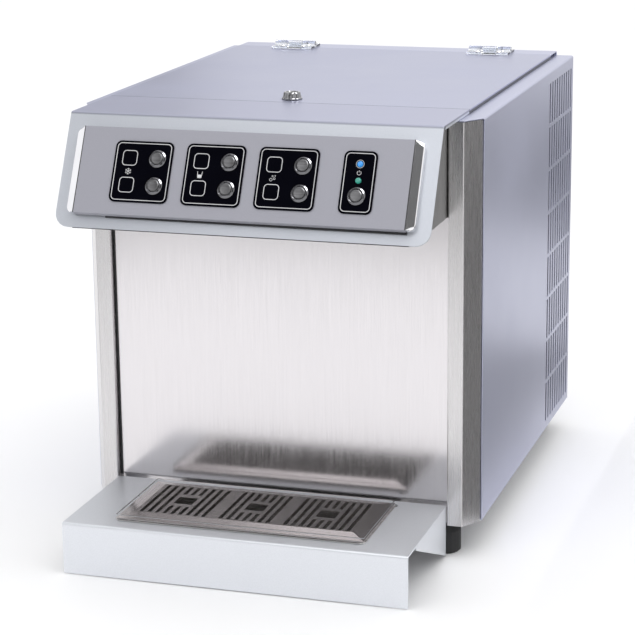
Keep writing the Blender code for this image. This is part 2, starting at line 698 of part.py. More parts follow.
def make_hinge(side, parent, lid_parent, finish):
    """A clear hinge: the body leaf holds the pin, the lid leaf's knuckle turns on it."""
    name = "left" if side < 0 else "right"
    middle = side * HINGE_OFFSET
    third = HINGE_WIDTH / 6
    half = HINGE_WIDTH / 2
    seat = LID_TOP + FIT
    top = seat + LEAF_THICKNESS
    clear = KNUCKLE_RADIUS + KNUCKLE_CLEARANCE
    free = HINGE_LEAF
    inner = third - KNUCKLE_CLEARANCE / 2
    outer = third + KNUCKLE_CLEARANCE / 2

    lid_outline = [(middle - half, -free), (middle + half, -free), (middle + half, -clear),
                   (middle + inner, -clear), (middle + inner, 0), (middle - inner, 0),
                   (middle - inner, -clear), (middle - half, -clear)]
    body_outline = [(middle - half, free), (middle - half, 0), (middle - outer, 0),
                    (middle - outer, clear), (middle + outer, clear), (middle + outer, 0),
                    (middle + half, 0), (middle + half, free)]

    def leaf(outline):
        return prism([(x, HINGE_Y + y) for x, y in outline], seat, top)

    lid_leaf = publish(f"{name}_hinge_lid_leaf", leaf(lid_outline), finish, lid_parent)
    combine(lid_leaf, knuckle(middle - inner, middle + inner, KNUCKLE_RADIUS), "UNION")
    combine(lid_leaf, knuckle(middle - half, middle + half, PIN_RADIUS + FIT), "DIFFERENCE")

    body_leaf = publish(f"{name}_hinge_body_leaf", leaf(body_outline), finish, parent)
    for x0, x1 in [(-half, -outer), (outer, half)]:
        combine(body_leaf, knuckle(middle + x0, middle + x1, KNUCKLE_RADIUS), "UNION")
    combine(body_leaf, knuckle(middle - half + MM, middle + half - MM, PIN_RADIUS), "UNION")


# ------------------------------------------------------------------ console
def slope_outline(outline):
    """Turns (x, distance down the face) into the console frame, whose Y runs up the face."""
    return [(x, -down) for x, down in outline]


def console_prism(outline, holes, low, high):
    bm = flat_blank(slope_outline(outline), [slope_outline(hole) for hole in holes], high - low)
    return shifted(bm, z=low)


def keypad_places():
    names = ["cold", "ambient", "sparkling"]
    places = [(name, KEYPAD_FIRST + index * KEYPAD_PITCH, KEYPAD_WIDTH)
              for index, name in enumerate(names)]
    places.append(("energy", ENERGY_KEYPAD_CENTRE, ENERGY_KEYPAD_WIDTH))
    return places


def button_places():
    places = []
    for name, centre, _width in keypad_places()[:3]:
        places.append((f"{name}_upper", centre + BUTTON_OFFSET, BUTTON_UPPER))
        places.append((f"{name}_lower", centre + BUTTON_OFFSET, BUTTON_LOWER))
    places.append(("energy", ENERGY_KEYPAD_CENTRE, BUTTON_LOWER))
    return places


def lamp_places():
    return [("status_lamp", ENERGY_KEYPAD_CENTRE, STATUS_LAMP),
            ("energy_lamp", ENERGY_KEYPAD_CENTRE, ENERGY_LAMP)]


def console_holes(x0, x1):
    holes = [circle(x, down, BARREL_HOLE, 16) for _name, x, down in button_places() if x0 < x < x1]
    return holes + [circle(x, down, LAMP_RADIUS + FIT, 12)
                    for _name, x, down in lamp_places() if x0 < x < x1]


def make_console(parent, finishes):
    low, high = CONSOLE_TOP, CONSOLE_TOP + CONSOLE_HEIGHT
    inset = SHEET + FIT
    holes = console_holes(-CONSOLE_HALF, CONSOLE_HALF)
    inner = rectangle(-CONSOLE_HALF + inset, CONSOLE_HALF - inset, low + inset, high - inset)
    backing = console_prism(inner, holes, FIT, PLATE_FRONT - SHEET - FIT)
    publish("console_backing", backing, finishes["black"], parent)

    outline = slope_outline(rectangle(-CONSOLE_HALF, CONSOLE_HALF, low, high))
    plate = flat_blank(outline, [slope_outline(hole) for hole in holes], SHEET)
    for down in (low + SHEET, high - SHEET):
        score(plate, 1, -down)
    lip = PLATE_FRONT - SHEET - CONSOLE_GAP
    raise_lips(plate, SHEET, lip, lambda spot: not low + SHEET < -spot.y < high - SHEET)
    bmesh.ops.scale(plate, vec=(1, 1, -1), verts=plate.verts[:])
    face_out(plate)
    publish("fascia_plate", shifted(plate, z=PLATE_FRONT), finishes["fascia"], parent)

    for name, side in [("left_end_cap", -1), ("right_end_cap", 1)]:
        cap = end_cap(low, high)
        publish(name, mirrored(cap) if side < 0 else cap, finishes["chrome"], parent, smooth=True)


def end_cap(low, high):
    """The right end cap: flat against the console's end, rounded on its outer side."""
    inner = CONSOLE_HALF + FIT
    outer = inner + CAP_WIDTH
    levels = [(0, FIT), (0, PLATE_FRONT * 0.55), (0.12, PLATE_FRONT * 0.8),
              (0.35, PLATE_FRONT * 0.95), (0.6, PLATE_FRONT)]
    loops = []
    for share, level in levels:
        inset = share * CAP_CORNER
        radius = CAP_CORNER - inset
        points = [(inner, low + inset)]
        for centre, start in [(low + CAP_CORNER, -90), (high - CAP_CORNER, 0)]:
            for step in range(6):
                angle = math.radians(start + 18 * step)
                points.append((outer - CAP_CORNER + radius * math.cos(angle),
                               centre + radius * math.sin(angle)))
        points.append((inner, high - inset))
        loops.append([(x, y, level) for x, y in slope_outline(points)])
    return loft(loops)


def make_keypads(parent, finish):
    for name, centre, width in keypad_places():
        left, right = centre - width / 2, centre + width / 2
        outline = rounded_rectangle(left, right, KEYPAD_TOP, KEYPAD_TOP + KEYPAD_HEIGHT, KEYPAD_CORNER)
        holes = console_holes(left, right)
        pad = console_prism(outline, holes, PLATE_FRONT + FIT, KEYPAD_FRONT)
        publish(f"{name}_keypad", pad, finish, parent)


def make_buttons(parent, finishes):
    seat = KEYPAD_FRONT + FIT
    top = seat + BEZEL_HEIGHT
    bore = BUTTON_RADIUS + BUTTON_CLEARANCE
    base = seat - BARREL_DEPTH
    bezel = [(bore, base), (BARREL_RADIUS, base), (BARREL_RADIUS, seat), (BEZEL_RADIUS, seat),
             (BEZEL_RADIUS, top - 0.9 * MM), (BEZEL_RADIUS - 1.1 * MM, top), (bore + 0.5 * MM, top),
             (bore, top - 0.5 * MM)]
    crown = top + BUTTON_PROUD
    piston = [(BUTTON_RADIUS, base + 2 * MM), (BUTTON_RADIUS, crown - 0.6 * MM),
              (BUTTON_RADIUS - 0.6 * MM, crown)]
    for name, x, down in button_places():
        ring = shifted(turned(bezel, 16, ring=True), x, -down)
        publish(f"{name}_bezel", ring, finishes["chrome"], parent, smooth=True)
        button = shifted(turned(piston, 16), x, -down)
        publish(f"{name}_button", button, finishes["steel"], parent, (x, -down, seat), smooth=True)


def make_lamps(parent, finishes):
    front = KEYPAD_FRONT + LAMP_PROUD
    profile = [(LAMP_RADIUS, PLATE_FRONT - 4 * MM), (LAMP_RADIUS, KEYPAD_FRONT),
               (LAMP_RADIUS * 0.85, front - LAMP_PROUD * 0.35), (LAMP_RADIUS * 0.5, front)]
    for name, x, down in lamp_places():
        lens = shifted(turned(profile, 12), x, -down)
        publish(name, lens, finishes[name], parent, smooth=True)


# ------------------------------------------------------------------ drip shelf
def make_drip_shelf(parent, finish):
    half = BAY_HALF - FIT
    rear = SPLASH_RECESS - SHELF_GAP
    corners = [(rear, SHELF_TOP), (-SHELF_REACH, SHELF_TOP), (-SHELF_REACH, APRON_CLEARANCE)]
    path = rounded_path(corners, SHELF_FOLD_RADIUS)
    outline = rectangle(-half, half, 0, path_marks(path)[-1])
    well_x, well_y = [size + BOWL_CLEARANCE for size in WELL_HALF]
    middle = rear - GRILLE_CENTRE
    hole = rounded_rectangle(-well_x, well_x, middle - well_y, middle + well_y,
                             BOWL_CORNER + BOWL_CLEARANCE)
    notch = circle(GRILLE_WIDTH / 2 - NOTCH_INSET, middle - GRILLE_DEPTH / 2 - BOWL_RIM,
                   NOTCH_RADIUS, 16)
    bm = sheet_piece(outline, [hole, notch], path, across, SHELF_SHEET)
    shelf = publish("drip_shelf", bm, finish, parent)
    inner_top = SHELF_TOP - SHELF_SHEET / 2
    gusset = [(-FIT, inner_top), (-FIT, APRON_CLEARANCE),
              (-GUSSET_LENGTH, SHELF_TOP - GUSSET_FRONT), (-GUSSET_LENGTH, inner_top)]
    for side in (-1, 1):
        edge = side * (half - FIT / 2)
        inside = edge - side * SHELF_SHEET
        loops = [[(x, y, z) for y, z in gusset] for x in (min(edge, inside), max(edge, inside))]
        combine(shelf, loft(loops), "UNION")


def grille_slots():
    """The slots of the three cup places; the middle three columns leave room for a square mark."""
    half_length = GRILLE_SLOT_LENGTH / 2
    gap = STATION_MARK / 2 + STATION_MARK_BRIDGE
    slots = []
    for middle, columns in zip(station_places(), STATION_COLUMNS):
        for column in range(columns):
            offset = column - (columns - 1) / 2
            left = middle + offset * GRILLE_PITCH - GRILLE_SLOT / 2
            right = left + GRILLE_SLOT
            if abs(offset) > 1:
                slots.append(rectangle(left, right, -half_length, half_length))
            else:
                slots.append(rectangle(left, right, -half_length, -gap))
                slots.append(rectangle(left, right, gap, half_length))
        slots.append(rectangle(middle - STATION_MARK / 2, middle + STATION_MARK / 2,
                               -STATION_MARK / 2, STATION_MARK / 2))
    return slots


def make_drip_grille(parent, finish):
    """A slotted plate whose border slopes down to its edge, mitred at the corners."""
    bm = bmesh.new()
    half_x, half_y = GRILLE_WIDTH / 2, GRILLE_DEPTH / 2
    inner_x, inner_y = half_x - GRILLE_BORDER, half_y - GRILLE_BORDER
    edge = [bm.verts.new((u, v, 0)) for u, v in rectangle(-half_x, half_x, -half_y, half_y)]
    shoulder = [bm.verts.new((u, v, 0)) for u, v in rectangle(-inner_x, inner_x, -inner_y, inner_y)]
    for k in range(4):
        after = (k + 1) % 4
        bm.faces.new((edge[k], edge[after], shoulder[after], shoulder[k]))
    edges = [bm.edges.get(pair) for pair in zip(shoulder, shoulder[1:] + shoulder[:1])]
    for slot in grille_slots():
        verts = [bm.verts.new((u, v, 0)) for u, v in slot]
        edges += [bm.edges.new(pair) for pair in zip(verts, verts[1:] + verts[:1])]
    bmesh.ops.triangle_fill(bm, use_beauty=True, edges=edges, normal=(0, 0, 1))
    thicken(bm, SHEET)
    for vert in bm.verts:
        if abs(abs(vert.co.x) - half_x) < 1e-6:
            vert.co.z -= GRILLE_RISE
    seat = SHELF_TOP + FIT + SHEET + FIT
    bm = shifted(bm, y=GRILLE_CENTRE, z=seat + GRILLE_RISE)
    publish("drip_grille", bm, finish, parent, (0, GRILLE_CENTRE, seat))


def make_drip_bowl(parent, finish):
    well_x, well_y = WELL_HALF
    rim_x = GRILLE_WIDTH / 2 + BOWL_RIM
    rim_y = GRILLE_DEPTH / 2 + BOWL_RIM
    seat = SHELF_TOP + FIT
    taper = 3 * MM
    wall = SHEET
    levels = [(well_x - taper, well_y - taper, BOWL_BOTTOM), (well_x, well_y, seat),
              (rim_x, rim_y, seat), (rim_x, rim_y, seat + SHEET),
              (well_x - wall, well_y - wall, seat + SHEET),
              (well_x - wall - taper, well_y - wall - taper, BOWL_BOTTOM + wall)]
    loops = [[(u, GRILLE_CENTRE + v, z) for u, v in rounded_rectangle(-x, x, -y, y, BOWL_CORNER)]
             for x, y, z in levels]
    publish("drip_bowl", loft(loops), finish, parent, (0, GRILLE_CENTRE, seat))


# ------------------------------------------------------------------ feet
def make_feet(parent, finish):
    top = FOOT_HEIGHT - FIT
    profile = [(FOOT_RADIUS - 2 * MM, 0), (FOOT_RADIUS, 2 * MM), (FOOT_RADIUS, 0.7 * top),
               (FOOT_RADIUS - 3 * MM, top)]
    for x_name, x in [("left", -1), ("right", 1)]:
        for y_name, y in [("front", FOOT_INSET_Y), ("rear", BODY_DEPTH - FOOT_INSET_Y)]:
            bm = shifted(turned(profile), x * (HALF_WIDTH - FOOT_INSET_X), y)
            publish(f"{y_name}_{x_name}_foot", bm, finish, parent, smooth=True)


# ------------------------------------------------------------------ cooling and water system
def make_compressor(parent, finish):
    r = COMPRESSOR_RADIUS
    band = COMPRESSOR_BAND
    low = FLOOR_TOP + FIT
    top = low + COMPRESSOR_HEIGHT
    profile = [(r * 0.55, low), (r * 0.6, low + 14 * MM), (r * 0.9, low + 24 * MM),
               (r, low + 45 * MM), (r, low + 92 * MM), (band, low + 93 * MM),
               (band, low + 98 * MM), (r, low + 99 * MM), (r * 0.93, top - 22 * MM),
               (r * 0.6, top - 5 * MM), (r * 0.2, top)]
    bm = shifted(turned(profile, 24), COMPRESSOR_X, COMPRESSOR_Y)
    publish("compressor", bm, finish, parent, smooth=True)


def condenser_place():
    """The middle of the condenser, just inside the right side panel's vents."""
    columns = (VENT_COLUMNS - 1) * VENT_COLUMN_PITCH + VENT_SLOT_WIDTH
    x = INNER_HALF - 6 * MM - CONDENSER_SIZE[0] / 2
    y = BODY_DEPTH - VENT_REAR_MARGIN - columns / 2
    return x, y, FLOOR_TOP + FIT + CONDENSER_SIZE[2] / 2


def make_condenser(parent, finish):
    """A finned block: the outline is a comb of fins joined by the tube bank."""
    width, depth, height = CONDENSER_SIZE
    x, y, z = condenser_place()
    pitch = height / CONDENSER_FINS
    right = x + width / 2
    left = x - width / 2
    root = x + width / 6
    comb = [(left, z - height / 2)]
    for fin in range(CONDENSER_FINS):
        low = z - height / 2 + fin * pitch
        comb += [(right, low), (right, low + pitch * 0.4), (root, low + pitch * 0.4),
                 (root, low + pitch)]
    comb[-1] = (root, z + height / 2)
    comb.append((left, z + height / 2))
    loops = [[(u, v, w) for u, w in comb] for v in (y - depth / 2, y + depth / 2)]
    publish("condenser", loft(loops), finish, parent)


def make_fan(parent, finishes):
    """The fan draws air across the condenser; its axis runs along X."""
    x, y, z = condenser_place()
    _width, depth, height = CONDENSER_SIZE
    wall = 2 * MM
    behind = x - CONDENSER_SIZE[0] / 2 - SHROUD_STANDOFF
    outline = rectangle(-height / 2, height / 2, -depth / 2, depth / 2)
    hole = circle(0, 0, FAN_RADIUS + 2 * MM, 28)
    plate = turned_to_x(flat_blank(outline, [hole], wall))
    publish("fan_shroud", shifted(plate, behind - wall, y, z), finishes["black"], parent)

    hub_radius = FAN_RADIUS * 0.3
    hub = turned([(hub_radius, 0), (hub_radius, FAN_DEPTH)], 20)
    centre = (behind - wall - FAN_CLEARANCE - FAN_DEPTH / 2, y, z)
    hub = shifted(turned_to_x(hub), *centre)
    rotor = publish("fan_rotor", shifted(hub, -FAN_DEPTH / 2), finishes["grey"], parent, centre)
    for blade in range(FAN_BLADES):
        vane = block(-FAN_RADIUS * 0.16, FAN_RADIUS * 0.16, hub_radius * 0.8, FAN_RADIUS,
                     -0.9 * MM, 0.9 * MM)
        bmesh.ops.rotate(vane, cent=(0, 0, 0), matrix=Matrix.Rotation(math.radians(32), 3, "Y"),
                         verts=vane.verts[:])
        turn = Matrix.Rotation(2 * math.pi * blade / FAN_BLADES, 3, "Z")
        bmesh.ops.rotate(vane, cent=(0, 0, 0), matrix=turn, verts=vane.verts[:])
        combine(rotor, shifted(turned_to_x(vane), *centre), "UNION")


def make_cold_tank(parent, finish):
    left = PUMP_X + PUMP_RADIUS + TANK_PUMP_GAP
    right = HALF_WIDTH - TANK_SIDE_GAP
    rear = COMPRESSOR_Y - COMPRESSOR_BAND - TANK_REAR_GAP
    low = FLOOR_TOP + FIT
    top = FLANGE_UNDER - TANK_TOP_GAP
    levels = [(4 * MM, low), (0, low + 4 * MM), (0, top - 4 * MM), (4 * MM, top)]
    loops = []
    for inset, z in levels:
        outline = rounded_rectangle(left + inset, right - inset, TANK_FRONT + inset, rear - inset,
                                    TANK_CORNER - inset)
        loops.append([(u, v, z) for u, v in outline])
    publish("cold_tank", loft(loops), finish, parent, smooth=True)


def make_pump(parent, finish):
    """A motor lying along Y with the pump head on its front end."""
    r = PUMP_RADIUS
    profile = [(r * 0.5, 0), (r * 0.5, 0.12), (r * 0.72, 0.14), (r * 0.72, 0.36), (r * 0.6, 0.38),
               (r * 0.6, 0.42), (r, 0.44), (r, 0.94), (r * 0.8, 1)]
    front = (POST_RETURN + COMPRESSOR_Y - COMPRESSOR_BAND - PUMP_LENGTH) / 2
    bm = turned_to_y(turned([(radius, share * PUMP_LENGTH) for radius, share in profile]))
    publish("pump", shifted(bm, PUMP_X, front, FLOOR_TOP + FIT + r), finish, parent, smooth=True)


def make_valve_manifold(parent, finish):
    """A block with a solenoid over each nozzle's outlet."""
    width, depth, height = MANIFOLD_SIZE
    y = SPLASH_RECESS + SHEET + MANIFOLD_GAP + depth / 2
    z = FLANGE_UNDER - SPLASH_WINDOW_DROP - height / 2
    base = block(-width / 2, width / 2, y - depth / 2, y + depth / 2, z, z + height / 2)
    manifold = publish("valve_manifold", base, finish, parent)
    coil_half = 0.36 * depth
    for station in station_places():
        place = station * (width - 3 * coil_half) / (2 * STATION_PITCH)
        coil = block(place - coil_half, place + coil_half, y - coil_half, y + coil_half,
                     z + height / 2 - MM, z + height)
        combine(manifold, coil, "UNION")


def make_control_board(parent, finish):
    width, depth, thickness = BOARD_SIZE
    low = HEAD_FLOOR + SHEET + NOZZLE_STEM + 8 * MM
    front = face_plane(low, FACE_BACKING) + BARREL_DEPTH + 12 * MM
    board = block(-width / 2, width / 2, front, front + depth, low, low + thickness)
    publish("control_board", board, finish, parent)


def make_rear_fittings(parent, finishes):
    outer = BODY_DEPTH + FIT
    end = BODY_DEPTH + FITTING_REACH
    width, height = MAINS_SIZE
    x, z = MAINS_PLACE

    def rim(grow, y):
        points = rounded_rectangle(x - width / 2 - grow, x + width / 2 + grow,
                                   z - height / 2 - grow, z + height / 2 + grow, 3 * MM)
        return [(u, y, v) for u, v in points]

    cup = 3 * MM
    loops = [rim(0, REAR_INNER - 20 * MM), rim(0, outer), rim(4 * MM, outer), rim(4 * MM, outer + 3 * MM),
             rim(-cup, outer + 3 * MM), rim(-cup, REAR_INNER - 14 * MM)]
    publish("mains_inlet", loft(loops), finishes["black"], parent)

    inside = REAR_INNER - 18 * MM
    for name, place, stem in [("water_inlet", WATER_PLACE, WATER_STEM), ("gas_inlet", GAS_PLACE, GAS_STEM)]:
        bore = stem * 0.45
        profile = [(bore, inside), (stem, inside), (stem, outer), (stem * 1.4, outer),
                   (stem * 1.4, outer + 4 * MM), (stem * 0.95, outer + 4 * MM), (stem * 0.95, end),
                   (bore, end)]
        bm = shifted(turned_to_y(turned(profile, ring=True)), place[0], 0, place[1])
        publish(name, bm, finishes["brass"], parent, smooth=True)


# ------------------------------------------------------------------ the whole appliance
def main():
    clear_scene()
    finishes = {
        "lavender": material("satin lavender grey paint", (0.40, 0.41, 0.52), 0.4, 0.4),
        "pale": material("pale silver paint", (0.66, 0.71, 0.76), 0.4, 0.3),
        "steel": material("brushed stainless steel", (0.58, 0.56, 0.55), 0.3, 1.0),
        "splash": material("fine brushed stainless steel", (0.70, 0.67, 0.65), 0.25, 1.0),
        "grille": material("dark brushed stainless steel", (0.32, 0.31, 0.31), 0.3, 1.0),
        "chrome": material("polished chrome", (0.80, 0.80, 0.80), 0.08, 1.0),
        "fascia": material("mid grey fascia", (0.40, 0.40, 0.42), 0.45, 0.2),
        "black": material("black plastic", (0.02, 0.02, 0.02), 0.4),
        "keypad": material("gloss black overlay", (0.005, 0.005, 0.008), 0.15),
        "rubber": material("dark rubber", (0.03, 0.03, 0.03), 0.8),
        "clear": material("clear polycarbonate", (0.85, 0.88, 0.92), 0.08, 0.0, 0.9),
        "status_lamp": material("blue lamp", (0.05, 0.25, 0.7), 0.2),
        "energy_lamp": material("green lamp", (0.05, 0.5, 0.35), 0.2),
        "zinc": material("galvanised steel", (0.45, 0.46, 0.47), 0.5, 0.9),
        "aluminium": material("aluminium fins", (0.7, 0.7, 0.7), 0.4, 1.0),
        "grey": material("grey plastic", (0.25, 0.25, 0.26), 0.5),
        "foam": material("black insulation jacket", (0.03, 0.03, 0.035), 0.85),
        "brass": material("brass fitting", (0.62, 0.48, 0.22), 0.3, 1.0),
        "board": material("green circuit board", (0.02, 0.16, 0.07), 0.4),
    }
    root = empty("dispenser", location=(0, -CENTRE_Y, 0))
    face = empty("face_frame", root, (0, -HOOD_REACH, LID_TOP), math.pi / 2 - FACE_TILT)
    hinge_axis = empty("lid_axis", root, (0, HINGE_Y, HINGE_Z))
    lid_frame = empty("lid_frame", hinge_axis, (0, -HINGE_Y, -HINGE_Z))

    make_base_pan(root, finishes["zinc"])
    publish("right_side_panel", side_panel(), finishes["lavender"], root)
    publish("left_side_panel", mirrored(side_panel()), finishes["lavender"], root)
    publish("right_corner_post", corner_post(), finishes["steel"], root)
    publish("left_corner_post", mirrored(corner_post()), finishes["steel"], root)
    make_splash_panel(root, finishes["splash"])
    make_rear_panel(root, finishes["lavender"])
    make_hood(root, finishes["pale"])
    make_head_underpan(root, finishes["pale"])
    make_nozzles(root, finishes["steel"])
    make_lid(lid_frame, (0, HINGE_Y, HINGE_Z), finishes["lavender"])
    make_lid_lock(lid_frame, finishes["chrome"])
    for side in (-1, 1):
        make_hinge(side, root, lid_frame, finishes["clear"])
    make_console(face, finishes)
    make_keypads(face, finishes["keypad"])
    make_buttons(face, finishes)
    make_lamps(face, finishes)
    make_drip_shelf(root, finishes["pale"])
    make_drip_grille(root, finishes["grille"])
    make_drip_bowl(root, finishes["steel"])
    make_feet(root, finishes["rubber"])
    make_compressor(root, finishes["black"])
    make_condenser(root, finishes["aluminium"])
    make_fan(root, finishes)
    make_cold_tank(root, finishes["foam"])
    make_pump(root, finishes["grey"])
    make_valve_manifold(root, finishes["brass"])
    make_control_board(root, finishes["board"])
    make_rear_fittings(root, finishes)


main()
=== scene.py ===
"""The finished look of the countertop water dispenser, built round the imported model."""
import json
import math

import bmesh
import bpy
from mathutils import Matrix, Vector


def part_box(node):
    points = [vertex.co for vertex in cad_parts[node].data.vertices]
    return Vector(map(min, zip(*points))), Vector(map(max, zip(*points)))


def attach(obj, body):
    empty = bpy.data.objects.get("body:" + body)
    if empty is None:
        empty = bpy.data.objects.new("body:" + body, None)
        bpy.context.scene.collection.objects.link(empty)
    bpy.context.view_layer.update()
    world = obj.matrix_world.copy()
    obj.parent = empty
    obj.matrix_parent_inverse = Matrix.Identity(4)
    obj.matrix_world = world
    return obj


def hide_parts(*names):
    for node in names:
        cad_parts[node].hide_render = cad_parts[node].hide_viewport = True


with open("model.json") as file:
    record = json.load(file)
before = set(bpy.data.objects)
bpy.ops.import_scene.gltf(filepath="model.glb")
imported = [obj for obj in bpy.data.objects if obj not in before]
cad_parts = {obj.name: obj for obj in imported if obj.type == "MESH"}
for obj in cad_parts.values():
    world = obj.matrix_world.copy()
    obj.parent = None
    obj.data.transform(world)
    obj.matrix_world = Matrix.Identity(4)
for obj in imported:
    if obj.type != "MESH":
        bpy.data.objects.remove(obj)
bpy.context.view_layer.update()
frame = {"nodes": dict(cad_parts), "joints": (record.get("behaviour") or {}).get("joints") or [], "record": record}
nodes = frame["nodes"]
MM = 0.001
ORIGIN = Matrix.Identity(4)


# ------------------------------------------------------------------ directions
press = next(joint for joint in frame["joints"] if joint["name"] == "energy_press")
OUTWARD = -Vector(press["axis"]).normalized()        # out of the console's sloping face
ACROSS = Vector((1, 0, 0))
REARWARD = Vector((0, 1, 0))
UP = Vector((0, 0, 1))
UPSLOPE = OUTWARD.cross(ACROSS)
SLOPE = Matrix((ACROSS, UPSLOPE, OUTWARD)).transposed().to_4x4()


def extent(node, direction):
    """The lowest and highest reach of a CAD node along a direction."""
    reach = [vert.co.dot(direction) for vert in nodes[node].data.vertices]
    return min(reach), max(reach)


def middle(node, direction):
    """Half way along the reach of a CAD node in a direction."""
    return sum(extent(node, direction)) / 2


# ------------------------------------------------------------------ materials
NOISE_RANGE = (0.3, 0.7)                 # the part of a noise's values that is spread out
COLOUR_A, COLOUR_B, COLOUR_OUT = 6, 7, 2    # a Mix node's colour sockets
STEEL_GRAIN = 0.012                      # stretch along the scratches of brushed steel


def principled(name, colour, roughness, metallic=0.0, **sockets):
    """A new material; the other sockets are named with an underscore for each space."""
    made = bpy.data.materials.new(name)
    made.use_nodes = True
    shader = made.node_tree.nodes["Principled BSDF"]
    shader.inputs["Base Color"].default_value = (*colour, 1)
    shader.inputs["Roughness"].default_value = roughness
    shader.inputs["Metallic"].default_value = metallic
    for key, value in sockets.items():
        shader.inputs[key.replace("_", " ")].default_value = value
    return made


def field(made, scale, stretch=(1, 1, 1), detail=3.0):
    """A noise over the surface, drawn out along the axes with a small stretch."""
    tree = made.node_tree
    place = tree.nodes.new("ShaderNodeTexCoord")
    mapping = tree.nodes.new("ShaderNodeMapping")
    mapping.inputs["Scale"].default_value = stretch
    noise = tree.nodes.new("ShaderNodeTexNoise")
    noise.inputs["Scale"].default_value = scale
    noise.inputs["Detail"].default_value = detail
    tree.links.new(place.outputs["Object"], mapping.inputs["Vector"])
    tree.links.new(mapping.outputs["Vector"], noise.inputs["Vector"])
    return noise.outputs["Fac"]


def vary_colour(made, source, colour, amount):
    """Mixes a darker and a lighter shade of the colour by the noise."""
    tree = made.node_tree
    ramp = tree.nodes.new("ShaderNodeValToRGB")
    for element, position in zip(ramp.color_ramp.elements, NOISE_RANGE):
        element.position = position
    for element, share in zip(ramp.color_ramp.elements, (1 - amount, 1 + amount)):
        element.color = (*[channel * share for channel in colour], 1)
    tree.links.new(source, ramp.inputs["Fac"])
    tree.links.new(ramp.outputs["Color"], tree.nodes["Principled BSDF"].inputs["Base Color"])


def vary_roughness(made, source, low, high):
    """Spreads the roughness from low to high by the noise."""
    tree = made.node_tree
    spread = tree.nodes.new("ShaderNodeMapRange")
    values = (*NOISE_RANGE, low, high)
    for key, value in zip(("From Min", "From Max", "To Min", "To Max"), values):
        spread.inputs[key].default_value = value
    tree.links.new(source, spread.inputs["Value"])
    tree.links.new(spread.outputs["Result"], tree.nodes["Principled BSDF"].inputs["Roughness"])


def bump(made, source, depth, strength):
    """Raises the surface by the noise."""
    tree = made.node_tree
    node = tree.nodes.new("ShaderNodeBump")
    node.inputs["Distance"].default_value = depth
    node.inputs["Strength"].default_value = strength
    tree.links.new(source, node.inputs["Height"])
    tree.links.new(node.outputs["Normal"], tree.nodes["Principled BSDF"].inputs["Normal"])


def satin_paint(name, colour, roughness, metallic, grain=0.03):
    """Metallic paint: a fine speckle, a slight orange peel and soft changes of gloss."""
    made = principled(name, colour, roughness, metallic)
    vary_colour(made, field(made, 1400, detail=2), colour, grain)
    vary_roughness(made, field(made, 7), roughness - 0.03, roughness + 0.04)
    bump(made, field(made, 420), 0.02 * MM, 0.35)
    return made


def tone_from(made, axis, start, end, colour):
    """Turns the base colour to another along an axis, from one place to the next."""
    tree = made.node_tree
    base = tree.nodes["Principled BSDF"].inputs["Base Color"]
    place = tree.nodes.new("ShaderNodeTexCoord")
    split = tree.nodes.new("ShaderNodeSeparateXYZ")
    fade = tree.nodes.new("ShaderNodeMapRange")
    fade.inputs["From Min"].default_value = start
    fade.inputs["From Max"].default_value = end
    mix = tree.nodes.new("ShaderNodeMix")
    mix.data_type = "RGBA"
    tree.links.new(place.outputs["Object"], split.inputs["Vector"])
    tree.links.new(split.outputs[axis], fade.inputs["Value"])
    tree.links.new(fade.outputs["Result"], mix.inputs["Factor"])
    tree.links.new(base.links[0].from_socket, mix.inputs[COLOUR_A])
    mix.inputs[COLOUR_B].default_value = (*colour, 1)
    tree.links.new(mix.outputs[COLOUR_OUT], base)


def hood_paint(name):
    """Silver paint on the face, with painted shade: a dark band along the fold and a darker lavender on the top,
    where the same paint gets less light.
    """
    made = satin_paint(name, (0.555, 0.578, 0.625), 0.38, 0.6)
    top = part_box("hood")[1][2]
    # Painted shade: the fold is darkened, then the top turned to a darker lavender copy of the same paint.
    tone_from(made, "Z", top - 2.6 * MM, top - 1.4 * MM, (0.27, 0.28, 0.33))
    tone_from(made, "Z", top - 0.7 * MM, top - 0.1 * MM, (0.36, 0.37, 0.475))
    return made


def lid_paint(name, colour):
    """The casing's paint, with painted shade: darker on the lid's front fold and dark along the edge of its lip,
    where shade and dark reflections fall.
    """
    made = satin_paint(name, colour, 0.36, 0.75)
    (_, front, _), (_, _, top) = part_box("lid")
    # Painted shade: the front fold is darkened, and the lower part of the lip turned near black.
    tone_from(made, "Y", front + 1.6 * MM, front + 1.3 * MM, (0.22, 0.23, 0.30))
    tone_from(made, "Z", top - 1.4 * MM, top - 1.8 * MM, (0.05, 0.05, 0.055))
    return made


def brushed(name, colour, roughness, along, contrast=0.03, depth=0.006):
    """Brushed steel: long fine scratches along one axis, in colour, gloss and relief."""
    made = principled(name, colour, roughness, 1.0)
    stretch = [1.0, 1.0, 1.0]
    stretch[along] = STEEL_GRAIN
    fine = field(made, 2400, stretch, detail=2)
    broad = field(made, 900, stretch, detail=3)
    vary_colour(made, broad, colour, contrast)
    vary_roughness(made, fine, roughness - 0.04, roughness + 0.06)
    bump(made, fine, depth * MM, 0.4)
    return made


def moulded(name, colour, roughness, depth=0.05, scale=900, **sockets):
    """Moulded plastic or rubber with a fine spark-eroded texture."""
    made = principled(name, colour, roughness, **sockets)
    vary_colour(made, field(made, 60), colour, 0.12)
    vary_roughness(made, field(made, 25), roughness - 0.05, roughness + 0.06)
    bump(made, field(made, scale, detail=4), depth * MM, 0.5)
    return made


def polished(name, colour, roughness):
    """Polished metal with faint wiping marks."""
    made = principled(name, colour, roughness, 1.0)
    vary_roughness(made, field(made, 90, detail=5), roughness * 0.6, roughness * 1.5)
    vary_colour(made, field(made, 40), colour, 0.02)
    return made


def lamp_lens(name, colour, glow):
    """A lit lens under a clear coat."""
    made = principled(name, colour, 0.12, Emission_Color=(*colour, 1), Emission_Strength=glow,
                      Coat_Weight=0.6)
    vary_roughness(made, field(made, 500), 0.08, 0.18)
    return made


